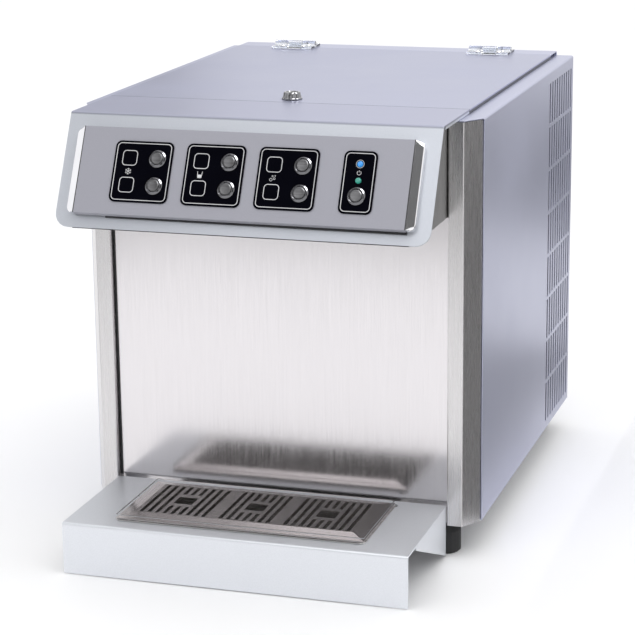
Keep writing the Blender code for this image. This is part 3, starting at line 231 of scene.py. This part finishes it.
def clear_plastic(name):
    """Clear plastic with faint scuffs."""
    made = principled(name, (0.93, 0.95, 0.98), 0.06, IOR=1.49, Transmission_Weight=1.0)
    vary_roughness(made, field(made, 240), 0.03, 0.10)
    return made


LAVENDER = (0.445, 0.458, 0.575)
finishes = {
    "casing_paint": satin_paint("satin lavender paint", LAVENDER, 0.36, 0.75),
    # Painted shade: the lid gets a darker copy of the casing's lavender, though it is the same paint.
    "lid_paint": lid_paint("lavender lid paint with painted shade", (0.375, 0.388, 0.50)),
    "hood_paint": hood_paint("silver paint with painted shade"),
    "shelf_paint": satin_paint("satin silver shelf paint", (0.75, 0.77, 0.81), 0.36, 0.65),
    # Painted shade: the cheek steel is the posts' brushed steel darkened to stand in for the dark reflections it
    # sits in.
    "cheek_steel": brushed("cheek steel darkened as painted shade", (0.20, 0.20, 0.195), 0.3, 2),
    "post_steel": brushed("brushed post steel", (0.68, 0.665, 0.67), 0.27, 2),
    "splash_steel": brushed("brushed splash steel", (0.77, 0.745, 0.76), 0.17, 2, 0.02),
    "grille_steel": brushed("brushed grille steel", (0.62, 0.585, 0.58), 0.19, 0),
    "bowl_steel": brushed("satin bowl steel", (0.62, 0.61, 0.60), 0.24, 0, 0.03),
    "polished_chrome": polished("polished chrome", (0.86, 0.86, 0.88), 0.07),
    # Painted shade: the bezels' chrome is given a dark base colour for the dark surroundings it reflects.
    "dark_chrome": polished("chrome darkened as painted shade", (0.17, 0.17, 0.18), 0.08),
    # Painted shade: the lock's chrome is given a darker base colour so that it reads dark.
    "lock_chrome": polished("lock chrome darkened as painted shade", (0.26, 0.26, 0.27), 0.05),
    "button_steel": brushed("satin button steel", (0.17, 0.17, 0.175), 0.36, 0, 0.25),
    "nozzle_steel": polished("turned nozzle steel", (0.70, 0.69, 0.68), 0.2),
    "fascia_paint": satin_paint("satin grey fascia", (0.315, 0.315, 0.355), 0.45, 0.2, 0.02),
    "black_plastic": moulded("black plastic", (0.018, 0.018, 0.02), 0.45),
    "keypad_overlay": moulded("gloss black overlay", (0.002, 0.002, 0.004), 0.3, 0.006, 1500,
                              Specular_IOR_Level=0.004),
    "blue_lamp": lamp_lens("blue lens", (0.03, 0.24, 0.62), 0.3),
    "green_lamp": lamp_lens("green lens", (0.03, 0.26, 0.20), 0.15),
    "clear_plastic": clear_plastic("clear plastic"),
    "galvanised_steel": satin_paint("galvanised steel", (0.52, 0.53, 0.55), 0.42, 0.95, 0.12),
    "foot_rubber": moulded("foot rubber", (0.02, 0.02, 0.021), 0.75, 0.08),
    "compressor_black": satin_paint("black enamel", (0.012, 0.012, 0.014), 0.3, 0.0, 0.2),
    "fin_aluminium": brushed("aluminium fins", (0.75, 0.75, 0.76), 0.35, 1),
    "grey_plastic": moulded("grey plastic", (0.20, 0.20, 0.21), 0.5),
    "insulation_jacket": moulded("foam jacket", (0.02, 0.02, 0.022), 0.85, 0.3, 260),
    "fitting_brass": polished("machined brass", (0.72, 0.55, 0.27), 0.22),
    "circuit_board": moulded("green solder mask", (0.01, 0.12, 0.05), 0.3, 0.02),
    "print": moulded("white print", (0.53, 0.53, 0.54), 0.45, 0.01),
}


# ------------------------------------------------------------------ carried-over nodes
def soften(item, width):
    """Rounds the sharp edges of an object slightly and keeps the shading of its faces flat."""
    weld = item.modifiers.new("Weld", "WELD")
    weld.merge_threshold = 0.01 * MM
    rounding = item.modifiers.new("Bevel", "BEVEL")
    rounding.width = width
    rounding.segments = 2
    rounding.limit_method = "ANGLE"
    rounding.angle_limit = math.radians(40)
    rounding.use_clamp_overlap = True
    rounding.harden_normals = True
    facing = item.modifiers.new("Flat faces", "WEIGHTED_NORMAL")
    facing.weight = 100
    facing.keep_sharp = True


# The width of the rounded edges in mm, and the nodes with a finish other than their slot's.
EDGES = {"casing_paint": 0.35, "hood_paint": 0.35, "post_steel": 0.3, "fascia_paint": 0.2,
         "grille_steel": 0.2, "clear_plastic": 0.5, "splash_steel": 0.2, "bowl_steel": 0.3}
# The underpan's cheek steel is a darkened copy of the post steel: painted shade.
OWN_FINISH = {"lid": "lid_paint", "drip_shelf": "shelf_paint", "head_underpan": "cheek_steel"}
for entry in frame["record"]["subparts"]:
    item = nodes[entry["node"]]
    item.data.materials.clear()
    item.data.materials.append(finishes[OWN_FINISH.get(entry["node"], entry["material_slot"])])
    if entry["material_slot"] in EDGES:
        soften(item, EDGES[entry["material_slot"]] * MM)


# ------------------------------------------------------------------ shapes
def circle(radius, count, u=0.0, v=0.0):
    """The loop of a circle with count corners; six make a hexagon."""
    turns = [2 * math.pi * k / count for k in range(count)]
    return [(u + radius * math.cos(turn), v + radius * math.sin(turn)) for turn in turns]


def rounded(u0, u1, v0, v1, radius, steps=6):
    """The loop of a rectangle with rounded corners."""
    corners = [(u1 - radius, v1 - radius, 0), (u0 + radius, v1 - radius, 90),
               (u0 + radius, v0 + radius, 180), (u1 - radius, v0 + radius, 270)]
    points = []
    for cu, cv, start in corners:
        for step in range(steps + 1):
            turn = math.radians(start + 90 * step / steps)
            points.append((cu + radius * math.cos(turn), cv + radius * math.sin(turn)))
    return points


def stack(bm, rows, ring=False):
    """A closed solid through loops of equally many points; a ring joins the last to the first."""
    made = [[bm.verts.new(point) for point in row] for row in rows]
    pairs = list(zip(made, made[1:]))
    if ring:
        pairs.append((made[-1], made[0]))
    for low, high in pairs:
        for k in range(len(low)):
            after = (k + 1) % len(low)
            bm.faces.new((low[k], low[after], high[after], high[k]))
    if not ring:
        bm.faces.new(made[0][::-1])
        bm.faces.new(made[-1])


def slab(bm, loop, low, high):
    """A flat closed solid with the loop as its outline."""
    stack(bm, [[(u, v, w) for u, v in loop] for w in (low, high)])


def band(bm, outer, inner, low, high):
    """A flat closed strip between two loops."""
    rows = [(outer, low), (outer, high), (inner, high), (inner, low)]
    stack(bm, [[(u, v, w) for u, v in loop] for loop, w in rows], ring=True)


def bar(bm, start, end, width, low, high):
    """A straight flat stroke between two points."""
    along = (Vector(end) - Vector(start)).normalized()
    side = Vector((-along.y, along.x)) * width / 2
    loop = [Vector(start) - side, Vector(end) - side, Vector(end) + side, Vector(start) + side]
    slab(bm, [tuple(point) for point in loop], low, high)


def turned(bm, profile, count, ring=False, wave=None):
    """A solid of revolution through (radius, height) points; wave changes a point by its turn."""
    rows = []
    for index, (radius, height) in enumerate(profile):
        row = []
        for k in range(count):
            turn = 2 * math.pi * k / count
            dr, dh = wave(index, k) if wave else (0.0, 0.0)
            reach = radius + dr
            row.append((reach * math.cos(turn), reach * math.sin(turn), height + dh))
        rows.append(row)
    stack(bm, rows, ring)


def add_piece(name, bm, place, slot, body, finish=None, replaced=()):
    """Makes the solid a piece that rides on a body, in the frame that place gives."""
    bmesh.ops.recalc_face_normals(bm, faces=bm.faces[:])
    bmesh.ops.transform(bm, matrix=place, verts=bm.verts[:])
    mesh = bpy.data.meshes.new(name)
    bm.to_mesh(mesh)
    bm.free()
    mesh.materials.append(finishes[finish or slot])
    mesh.shade_smooth()
    mesh.set_sharp_from_angle(angle=math.radians(32))
    item = bpy.data.objects.new(name, mesh)
    bpy.context.scene.collection.objects.link(item)
    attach(item, body)
    if replaced:
        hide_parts(*replaced)


# ------------------------------------------------------------------ keypad prints
PRINT = 0.12 * MM              # height of the print
SUNK = 0.02 * MM               # how far its foot is sunk in the overlay
LINE = 0.7 * MM                # width of the printed lines
BORDER_INSET = 1.9 * MM
BORDER_CORNER = 4.2 * MM
SQUARE_HALF = 7.4 * MM
SQUARE_CORNER = 3.6 * MM
SQUARES_LEFT = 13.2 * MM       # from the keypad's middle to the middle of its squares


def print_outline(bm, u0, u1, v0, v1, radius, low):
    """A line round a rectangle with rounded corners."""
    outer = rounded(u0, u1, v0, v1, radius)
    inner = rounded(u0 + LINE, u1 - LINE, v0 + LINE, v1 - LINE, radius - LINE)
    band(bm, outer, inner, low, low + PRINT)


def print_snowflake(bm, u, v, low):
    """Six arms, each with a pair of twigs."""
    reach = 3.1 * MM
    for angle in range(90, 450, 60):
        turn = math.radians(angle)
        tip = Vector((u + reach * math.cos(turn), v + reach * math.sin(turn)))
        bar(bm, (u, v), tip, 0.45 * MM, low, low + PRINT)
        knot = Vector((u, v)).lerp(tip, 0.6)
        for side in (-50, 50):
            twig = math.radians(angle + side)
            end = knot + Vector((math.cos(twig), math.sin(twig))) * 1.2 * MM
            bar(bm, knot, end, 0.4 * MM, low, low + PRINT)


def print_tumbler(bm, u, v, low):
    """A plain glass, half full."""
    outline = [(u - 2.4 * MM, v + 3 * MM), (u - 1.7 * MM, v - 3 * MM),
               (u + 1.7 * MM, v - 3 * MM), (u + 2.4 * MM, v + 3 * MM)]
    for start, end in zip(outline, outline[1:]):
        bar(bm, start, end, 0.5 * MM, low, low + PRINT)
    water = [(u - 2.0 * MM, v), (u - 1.75 * MM, v - 2.6 * MM), (u + 1.75 * MM, v - 2.6 * MM),
             (u + 2.0 * MM, v)]
    slab(bm, water, low, low + PRINT)


def print_bubbles(bm, u, v, low):
    """Four rings of falling size."""
    bubbles = [(-1.6, -1.4, 1.5), (1.5, -0.4, 1.1), (-0.3, 1.9, 0.8), (2.1, 2.3, 0.6)]
    for du, dv, radius in bubbles:
        spot = (u + du * MM, v + dv * MM)
        outer = circle(radius * MM, 20, *spot)
        inner = circle((radius - 0.38) * MM, 20, *spot)
        band(bm, outer, inner, low, low + PRINT)


def print_power(bm, u, v, low):
    """An open ring with a bar at its top."""
    steps = 20
    turns = [math.radians(125 + 290 * k / steps) for k in range(steps + 1)]
    outer, inner = ([(u + radius * MM * math.cos(turn), v + radius * MM * math.sin(turn))
                     for turn in turns] for radius in (2.1, 1.65))
    for k in range(steps):
        slab(bm, [outer[k], outer[k + 1], inner[k + 1], inner[k]], low, low + PRINT)
    bar(bm, (u, v + 0.6 * MM), (u, v + 2.5 * MM), 0.45 * MM, low, low + PRINT)


def print_border(name):
    """Starts the print of a keypad with its border; gives the print, its middle and its foot."""
    node = f"{name}_keypad"
    u0, u1 = extent(node, ACROSS)
    v0, v1 = extent(node, UPSLOPE)
    low = extent(node, OUTWARD)[1] - SUNK
    bm = bmesh.new()
    print_outline(bm, u0 + BORDER_INSET, u1 - BORDER_INSET, v0 + BORDER_INSET, v1 - BORDER_INSET,
                  BORDER_CORNER, low)
    return bm, (u0 + u1) / 2, low


def print_keypad(name, icon):
    """The white lines of one keypad: its border, a square beside each button and an icon."""
    bm, centre, low = print_border(name)
    u = centre - SQUARES_LEFT
    rows = [middle(f"{name}_{row}_button", UPSLOPE) for row in ROWS]
    for v in rows:
        print_outline(bm, u - SQUARE_HALF, u + SQUARE_HALF, v - SQUARE_HALF, v + SQUARE_HALF,
                      SQUARE_CORNER, low)
    icon(bm, u, sum(rows) / 2, low)
    add_piece(f"{name}_print", bm, SLOPE, "keypad_overlay", "casing", "print")


def print_energy_keypad():
    """The border, a ring round the upper lamp and the standby icon between the lamps."""
    bm, u, low = print_border("energy")
    lamps = [middle(node, UPSLOPE) for node in ("status_lamp", "energy_lamp")]
    ring = [circle(radius * MM, 28, u, lamps[0]) for radius in (3.9, 3.5)]
    band(bm, *ring, low, low + PRINT)
    print_power(bm, u, sum(lamps) / 2 - 0.6 * MM, low)
    add_piece("energy_print", bm, SLOPE, "keypad_overlay", "casing", "print")


ROWS = ("upper", "lower")
ICONS = {"cold": print_snowflake, "ambient": print_tumbler, "sparkling": print_bubbles}
for station, icon in ICONS.items():
    print_keypad(station, icon)
print_energy_keypad()


# ------------------------------------------------------------------ push-buttons
def half_width(node):
    """Half of a CAD node's reach across."""
    left, right = extent(node, ACROSS)
    return (right - left) / 2


def make_button(name):
    """A chrome bezel darkened as painted shade, with a milled inner ring, round a dished satin button."""
    u, v = (middle(f"{name}_bezel", axis) for axis in (ACROSS, UPSLOPE))
    base, top = extent(f"{name}_bezel", OUTWARD)
    outer, button = (half_width(f"{name}_{part}") for part in ("bezel", "button"))
    crown = extent(f"{name}_button", OUTWARD)[1]
    bore = button + 0.3 * MM
    seat = top - 1.8 * MM
    place = SLOPE @ Matrix.Translation((u, v, 0))

    profile = [(bore, base), (bore + 1.2 * MM, base), (bore + 1.2 * MM, seat), (outer, seat),
               (outer, seat + 0.25 * MM), (outer - 0.2 * MM, seat + 0.6 * MM),
               (outer - 0.8 * MM, seat + 1.15 * MM), (outer - 1.4 * MM, top - 0.2 * MM),
               (outer - 1.7 * MM, top), (outer - 1.85 * MM, top - 0.08 * MM),
               (bore + 0.75 * MM, seat + 1.15 * MM), (bore + 0.25 * MM, seat + 1.1 * MM),
               (bore, seat + 0.95 * MM)]

    milled_points = (10, 11)             # of the profile: the floor of the inner ring
    tooth = 0.22 * MM

    def milled(index, k):
        return (0.0, tooth * (k % 2)) if index in milled_points else (0.0, 0.0)

    bm = bmesh.new()
    turned(bm, profile, 64, ring=True, wave=milled)
    # The bezel is chrome with a darkened base colour: painted shade.
    add_piece(f"{name}_bezel_ring", bm, place, "polished_chrome", "casing", "dark_chrome",
              [f"{name}_bezel"])

    bm = bmesh.new()
    profile = [(button, base + 2 * MM), (button, crown - 0.75 * MM),
               (button - 0.15 * MM, crown - 0.4 * MM),
               (button - 0.45 * MM, crown - 0.12 * MM), (button - 0.85 * MM, crown),
               (button - 1.1 * MM, crown - 0.04 * MM), (button * 0.6, crown - 0.2 * MM),
               (button * 0.25, crown - 0.3 * MM)]
    turned(bm, profile, 48)
    add_piece(f"{name}_cap", bm, place, "button_steel", f"{name}_button",
              replaced=[f"{name}_button"])


for button in [f"{station}_{row}" for station in ICONS for row in ROWS] + ["energy"]:
    make_button(button)


# ------------------------------------------------------------------ end caps, painted shadow strips, seals and rim
def make_end_cap(side, mirror):
    """A chrome end cap whose face falls away to its outer edge, and a black strip beside it that paints the shadow
    in the gap between cap and fascia.
    """
    node = f"{side}_end_cap"
    near, far = sorted(abs(reach) for reach in extent(node, ACROSS))
    low, high = extent(node, UPSLOPE)
    base, top = extent(node, OUTWARD)
    rows = []
    for level, inset in [(0.0, 0.0), (0.54, 0.0), (0.59, 0.15), (0.63, 0.5), (0.68, 1.2),
                         (0.78, 3.4), (0.89, 5.9), (1.0, 8.5)]:
        outer = far - inset * MM
        radius = min(6.5 * MM, outer - near)
        loop = [(near, low + inset * 0.12 * MM)]
        for centre, start in [(low + radius, -90), (high - radius, 0)]:
            for step in range(7):
                turn = math.radians(start + 15 * step)
                loop.append((outer - radius + radius * math.cos(turn),
                             centre + radius * math.sin(turn)))
        loop.append((near, high - inset * 0.12 * MM))
        rows.append([(mirror * u, v, base + (top - base) * level) for u, v in loop])
    bm = bmesh.new()
    stack(bm, rows)
    add_piece(f"{side}_cap_cover", bm, SLOPE, "polished_chrome", "casing", replaced=[node])
    # Painted shadow: a black strip in the gap beside the cap.
    line = sorted(mirror * (near + step * MM) for step in (-0.25, 0.45))
    bm = bmesh.new()
    slab(bm, [(line[0], low), (line[1], low), (line[1], high), (line[0], high)],
         top - 0.2 * MM, top + 0.08 * MM)
    add_piece(f"{side}_cap_painted_shadow", bm, SLOPE, "black_plastic", "casing")


def make_painted_console_shadow():
    """A black strip under the console's lower edge that paints the shadow of the gap there."""
    low = extent("fascia_plate", UPSLOPE)[0]
    face = extent("hood", OUTWARD)[1]
    lip = extent("fascia_plate", OUTWARD)[0]
    left, right = -130 * MM, extent("fascia_plate", ACROSS)[1]
    seam = [(left, low - 1.1 * MM), (right, low - 1.7 * MM), (right, low + 1.2 * MM),
            (left, low + 1.2 * MM)]
    bm = bmesh.new()
    # Painted shadow: a black slab where the gap under the console lies in shade.
    slab(bm, seam, face + 0.02 * MM, lip - 0.15 * MM)
    add_piece("painted_console_shadow", bm, SLOPE, "black_plastic", "casing")


def make_painted_hood_shadow():
    """A black strip along the hood's lower edge that paints the shadow in the gap there."""
    low = extent("hood", UPSLOPE)[0]
    face = extent("hood", OUTWARD)[1]
    half = extent("hood", ACROSS)[1] - 19 * MM
    bm = bmesh.new()
    # Painted shadow: a thin black strip under the hood's lower edge.
    slab(bm, [(-half, low - 0.45 * MM), (half, low - 0.45 * MM), (half, low - 0.02 * MM),
              (-half, low - 0.02 * MM)], face - 1 * MM, face - 0.1 * MM)
    add_piece("painted_hood_shadow", bm, SLOPE, "black_plastic", "casing")


def make_splash_seals():
    """The dark seals between the splash panel and the corner posts."""
    (x0, front, _), (x1, _, _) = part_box("splash_panel")
    low = extent("drip_shelf", UP)[1] + 0.3 * MM
    high = extent("head_underpan", UP)[0]
    bm = bmesh.new()
    for inner, outer in ((x0 + 1.7 * MM, x0), (x1 - 1.1 * MM, x1)):
        left, right = sorted((inner, outer))
        loop = rounded(left, right, front - 0.9 * MM, front - 0.02 * MM, 0.3 * MM, 3)
        slab(bm, loop, low, high)
    add_piece("splash_seals", bm, ORIGIN, "black_plastic", "casing")


def make_grille_rim():
    """The bright ground edge round the drip grille."""
    (x0, y0, _), (x1, y1, top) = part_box("drip_grille")
    edge = 1.0 * MM
    outer = rounded(x0, x1, y0, y1, 2 * MM)
    inner = rounded(x0 + edge, x1 - edge, y0 + edge, y1 - edge, 1 * MM)
    bm = bmesh.new()
    band(bm, outer, inner, top - 0.3 * MM, top + 0.04 * MM)
    add_piece("grille_rim", bm, ORIGIN, "grille_steel", "grille", "polished_chrome")


for side, mirror in (("left", -1), ("right", 1)):
    make_end_cap(side, mirror)
make_painted_console_shadow()
make_painted_hood_shadow()
make_splash_seals()
make_grille_rim()


# ------------------------------------------------------------------ screws, lock and socket
def screw(bm, place, radius, height):
    """Adds a pan-head screw with a cross recess to the mesh."""
    head = bmesh.new()
    profile = [(radius * 0.55, -1 * MM), (radius * 0.55, 0), (radius, 0),
               (radius, height * 0.35), (radius * 0.93, height * 0.62),
               (radius * 0.75, height * 0.88), (radius * 0.5, height)]
    turned(head, profile, 24)
    recess = bmesh.new()
    arm, wide = radius * 0.52, radius * 0.15
    cross = [(arm, -wide), (arm, wide), (wide, wide), (wide, arm),
             (-wide, arm), (-wide, wide), (-arm, wide), (-arm, -wide),
             (-wide, -wide), (-wide, -arm), (wide, -arm), (wide, -wide)]
    slab(recess, cross, height * 0.45, height + MM)
    solids = []
    for name, solid in (("head", head), ("recess", recess)):
        bmesh.ops.recalc_face_normals(solid, faces=solid.faces[:])
        mesh = bpy.data.meshes.new(name)
        solid.to_mesh(mesh)
        solid.free()
        solids.append(bpy.data.objects.new(name, mesh))
        bpy.context.scene.collection.objects.link(solids[-1])
    cut = solids[0].modifiers.new("Cut", "BOOLEAN")
    cut.operation = "DIFFERENCE"
    cut.solver = "EXACT"
    cut.object = solids[1]
    shape = solids[0].evaluated_get(bpy.context.evaluated_depsgraph_get()).to_mesh()
    shape.transform(place)
    bm.from_mesh(shape)
    for solid in solids:
        bpy.data.objects.remove(solid, do_unlink=True)


def add_screws(name, places, radius, height, body):
    """Makes one piece of all the screws of a kind."""
    bm = bmesh.new()
    for place in places:
        screw(bm, place, radius, height)
    add_piece(name, bm, ORIGIN, "polished_chrome", body)


def hinge_screws(kind, body):
    """Two screws in each leaf of a kind, on the left and on the right."""
    from_end, leaf, spread = 5.6 * MM, 2.5 * MM, 12 * MM
    places = []
    for side in ("left", "right"):
        node = f"{side}_hinge_{kind}_leaf"
        low, high = extent(node, REARWARD)
        y = low + from_end if kind == "lid" else high - from_end
        z = extent("lid", UP)[1] + leaf
        for x in (middle(node, ACROSS) - spread, middle(node, ACROSS) + spread):
            turn = Matrix.Rotation(0.6 + 40 * x, 4, "Z")
            places.append(Matrix.Translation((x, y, z)) @ turn)
    add_screws(f"{kind}_hinge_screws", places, 2.9 * MM, 1.5 * MM, body)


hinge_screws("lid", "lid")
hinge_screws("body", "casing")


def rear_screws():
    """Four screws down each side of the rear panel."""
    (x0, _, z0), (x1, y1, z1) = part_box("rear_panel")
    facing = Matrix.Rotation(-math.pi / 2, 4, "X")
    inset = 11 * MM
    places = []
    for x in (x0 + inset, x1 - inset):
        for share in (0.06, 0.35, 0.64, 0.93):
            spot = Matrix.Translation((x, y1, z0 + (z1 - z0) * share))
            places.append(spot @ facing @ Matrix.Rotation(9 * share + 7 * x, 4, "Z"))
    add_screws("rear_screws", places, 3.2 * MM, 1.7 * MM, "casing")


rear_screws()


def make_lock():
    """The lid lock: a fluted collar, a rotor with a key slot, and the cam and nut below the lid."""
    place = Matrix.Translation((middle("lid", ACROSS), middle("lid_lock", REARWARD), 0))
    low, top = extent("lid_lock", UP)
    seat = extent("lid", UP)[1] + 0.3 * MM
    radius = 10 * MM
    count, flutes = 120, 10
    flute_depths = {4: 0.5, 5: 1.1, 6: 1.1, 7: 0.5}       # in mm, at these points of the profile

    def fluted(index, k):
        depth = flute_depths.get(index, 0.0) * MM
        return (-depth * (1 - math.cos(flutes * 2 * math.pi * k / count)) / 2, 0.0)

    profile = [(5.5 * MM, low + 0.2 * MM), (5.5 * MM, seat),
               (radius, seat), (radius, seat + 0.9 * MM),
               (radius - 0.5 * MM, seat + 1.3 * MM), (radius - 0.7 * MM, seat + 1.7 * MM),
               (radius - 1.4 * MM, top - 1.3 * MM), (radius - 2.0 * MM, top - 0.4 * MM),
               (radius - 2.7 * MM, top), (radius - 4.0 * MM, top),
               (radius - 4.3 * MM, top - 0.5 * MM), (radius - 4.5 * MM, top - 0.9 * MM)]
    bm = bmesh.new()
    turned(bm, profile, count, wave=fluted)
    cam = rounded(-5.5 * MM, 30 * MM, -6 * MM, 6 * MM, 4 * MM)
    slab(bm, cam, low, low + 2.5 * MM)
    nut = circle(8 * MM, 6)
    slab(bm, nut, low + 2.6 * MM, low + 6.1 * MM)
    # The collar's chrome is darkened as painted shade.
    add_piece("lock_collar", bm, place, "polished_chrome", "lid_lock", "lock_chrome", ["lid_lock"])

    bm = bmesh.new()
    rotor = circle(4.6 * MM, 40)
    slot = rounded(-0.6 * MM, 0.6 * MM, -3.1 * MM, 3.1 * MM, 0.5 * MM, 9)
    band(bm, rotor, slot, top - 2.2 * MM, top - 0.35 * MM)
    add_piece("lock_rotor", bm, place, "polished_chrome", "lid_lock", "button_steel")


make_lock()


def make_socket_pins():
    """The three blades inside the mains inlet."""
    x, z = (middle("mains_inlet", axis) for axis in (ACROSS, UP))
    rear = extent("mains_inlet", REARWARD)[1]
    bm = bmesh.new()
    for du, dw in [(-7, -2.5), (7, -2.5), (0, 3)]:
        loop = rounded((du - 1) * MM, (du + 1) * MM, (dw - 2) * MM, (dw + 2) * MM, 0.6 * MM, 3)
        slab(bm, loop, 0, 13 * MM)
    place = Matrix.Translation((x, rear - 3 * MM, z)) @ Matrix.Rotation(math.pi / 2, 4, "X")
    add_piece("socket_pins", bm, place, "nozzle_steel", "casing")


make_socket_pins()


# ------------------------------------------------------------------ stage, lights and camera
WIDE = 24                      # the floor's side, in metres
ON_FLOOR = 0.004               # the height of the flags that lie on the floor


def aimed(place, target, forward):
    """The rotation that turns an object's forward axis from its place to the target."""
    return (Vector(target) - Vector(place)).to_track_quat(forward, "Y").to_euler()


def area_light(name, place, target, size, power):
    data = bpy.data.lights.new(name, "AREA")
    data.shape = "RECTANGLE"
    data.size, data.size_y = size
    data.energy = power
    item = bpy.data.objects.new(name, data)
    item.location = place
    item.rotation_euler = aimed(place, target, "-Z")
    bpy.context.scene.collection.objects.link(item)


def make_flag(name, place, size, shade, target=None, glow=0.0):
    """A studio flag or lit card that only shows in reflections; it lies flat or faces a target."""
    bpy.ops.mesh.primitive_plane_add(size=1, location=place)
    item = bpy.context.object
    item.name = name
    item.scale = (*size, 1)
    if target:
        item.rotation_euler = aimed(place, target, "Z")
    item.data.materials.append(principled(name, (shade, shade, shade), 0.9,
                                          Emission_Color=(1, 1, 1, 1), Emission_Strength=glow))
    item.visible_camera = False
    item.visible_diffuse = False
    item.visible_shadow = False


def make_stage():
    """The floor, the even studio light, two softboxes and the flags."""
    bpy.ops.mesh.primitive_plane_add(size=WIDE, location=(0, 0, 0))
    floor = bpy.context.object
    floor.name = "floor"
    made = principled("pale floor", (0.95, 0.95, 0.95), 0.6)
    vary_roughness(made, field(made, 3), 0.55, 0.65)
    floor.data.materials.append(made)

    world = bpy.data.worlds.new("studio")
    world.use_nodes = True
    background = world.node_tree.nodes["Background"]
    background.inputs["Color"].default_value = (0.99, 0.99, 1.0, 1)
    background.inputs["Strength"].default_value = 1.07
    bpy.context.scene.world = world

    centre = (0, 0, 0.2)
    area_light("top softbox", (0.3, -0.4, 2.6), centre, (3.0, 3.0), 14)
    area_light("front softbox", (-1.6, -2.6, 2.0), centre, (1.8, 1.4), 6)
    make_flag("right floor flag", (0.72, 0.1, ON_FLOOR), (0.9, 1.0), 0.13)
    make_flag("right flag", (1.17, 0.1, 0.22), (1.6, 0.44), 0.15, (0, 0.1, 0.22))
    make_flag("sparkle card", (0.85, 0.0, 1.9), (1.3, 1.1), 0.5, centre, 12)
    make_flag("front right flag", (1.5, -1.75, 1.5), (1.7, 1.5), 0.14, centre)
    make_flag("front floor flag", (-0.4, -2.1, ON_FLOOR), (2.2, 1.4), 0.5)
    make_flag("left floor flag", (-1.15, -0.9, ON_FLOOR), (1.0, 1.2), 0.5)
    make_flag("strip flag", (0.0, -0.72, 0.38), (0.5, 0.26), 0.03, (0, 0, 0.38))
    make_flag("front flag", (-1.0, -3.2, 1.15), (3.0, 0.9), 0.03, centre)
    make_flag("left flag", (-1.05, -1.15, 1.2), (1.0, 1.3), 0.25, centre)
    make_flag("rear left flag", (-1.3, 1.3, 0.8), (1.4, 0.9), 0.4, centre)
    make_flag("rear floor flag", (0.9, 2.0, ON_FLOOR), (1.4, 1.4), 0.12)
    bpy.context.scene.view_settings.view_transform = "Standard"


def make_camera():
    """Stands 2.2 m from the middle along the floor, right of the front, looking slightly down."""
    azimuth, elevation, roll = (math.radians(angle) for angle in (17.52, 14.63, -0.67))
    data = bpy.data.cameras.new("camera")
    data.sensor_width = 36
    data.lens = 124.4
    item = bpy.data.objects.new("camera", data)
    turn = Matrix.Rotation(azimuth, 4, "Z") @ Matrix.Rotation(math.pi / 2 - elevation, 4, "X")
    item.matrix_world = (Matrix.Translation((0.65715, -2.11048, 0.76479)) @ turn
                         @ Matrix.Rotation(roll, 4, "Z"))
    bpy.context.scene.collection.objects.link(item)
    bpy.context.scene.camera = item


make_stage()
make_camera()
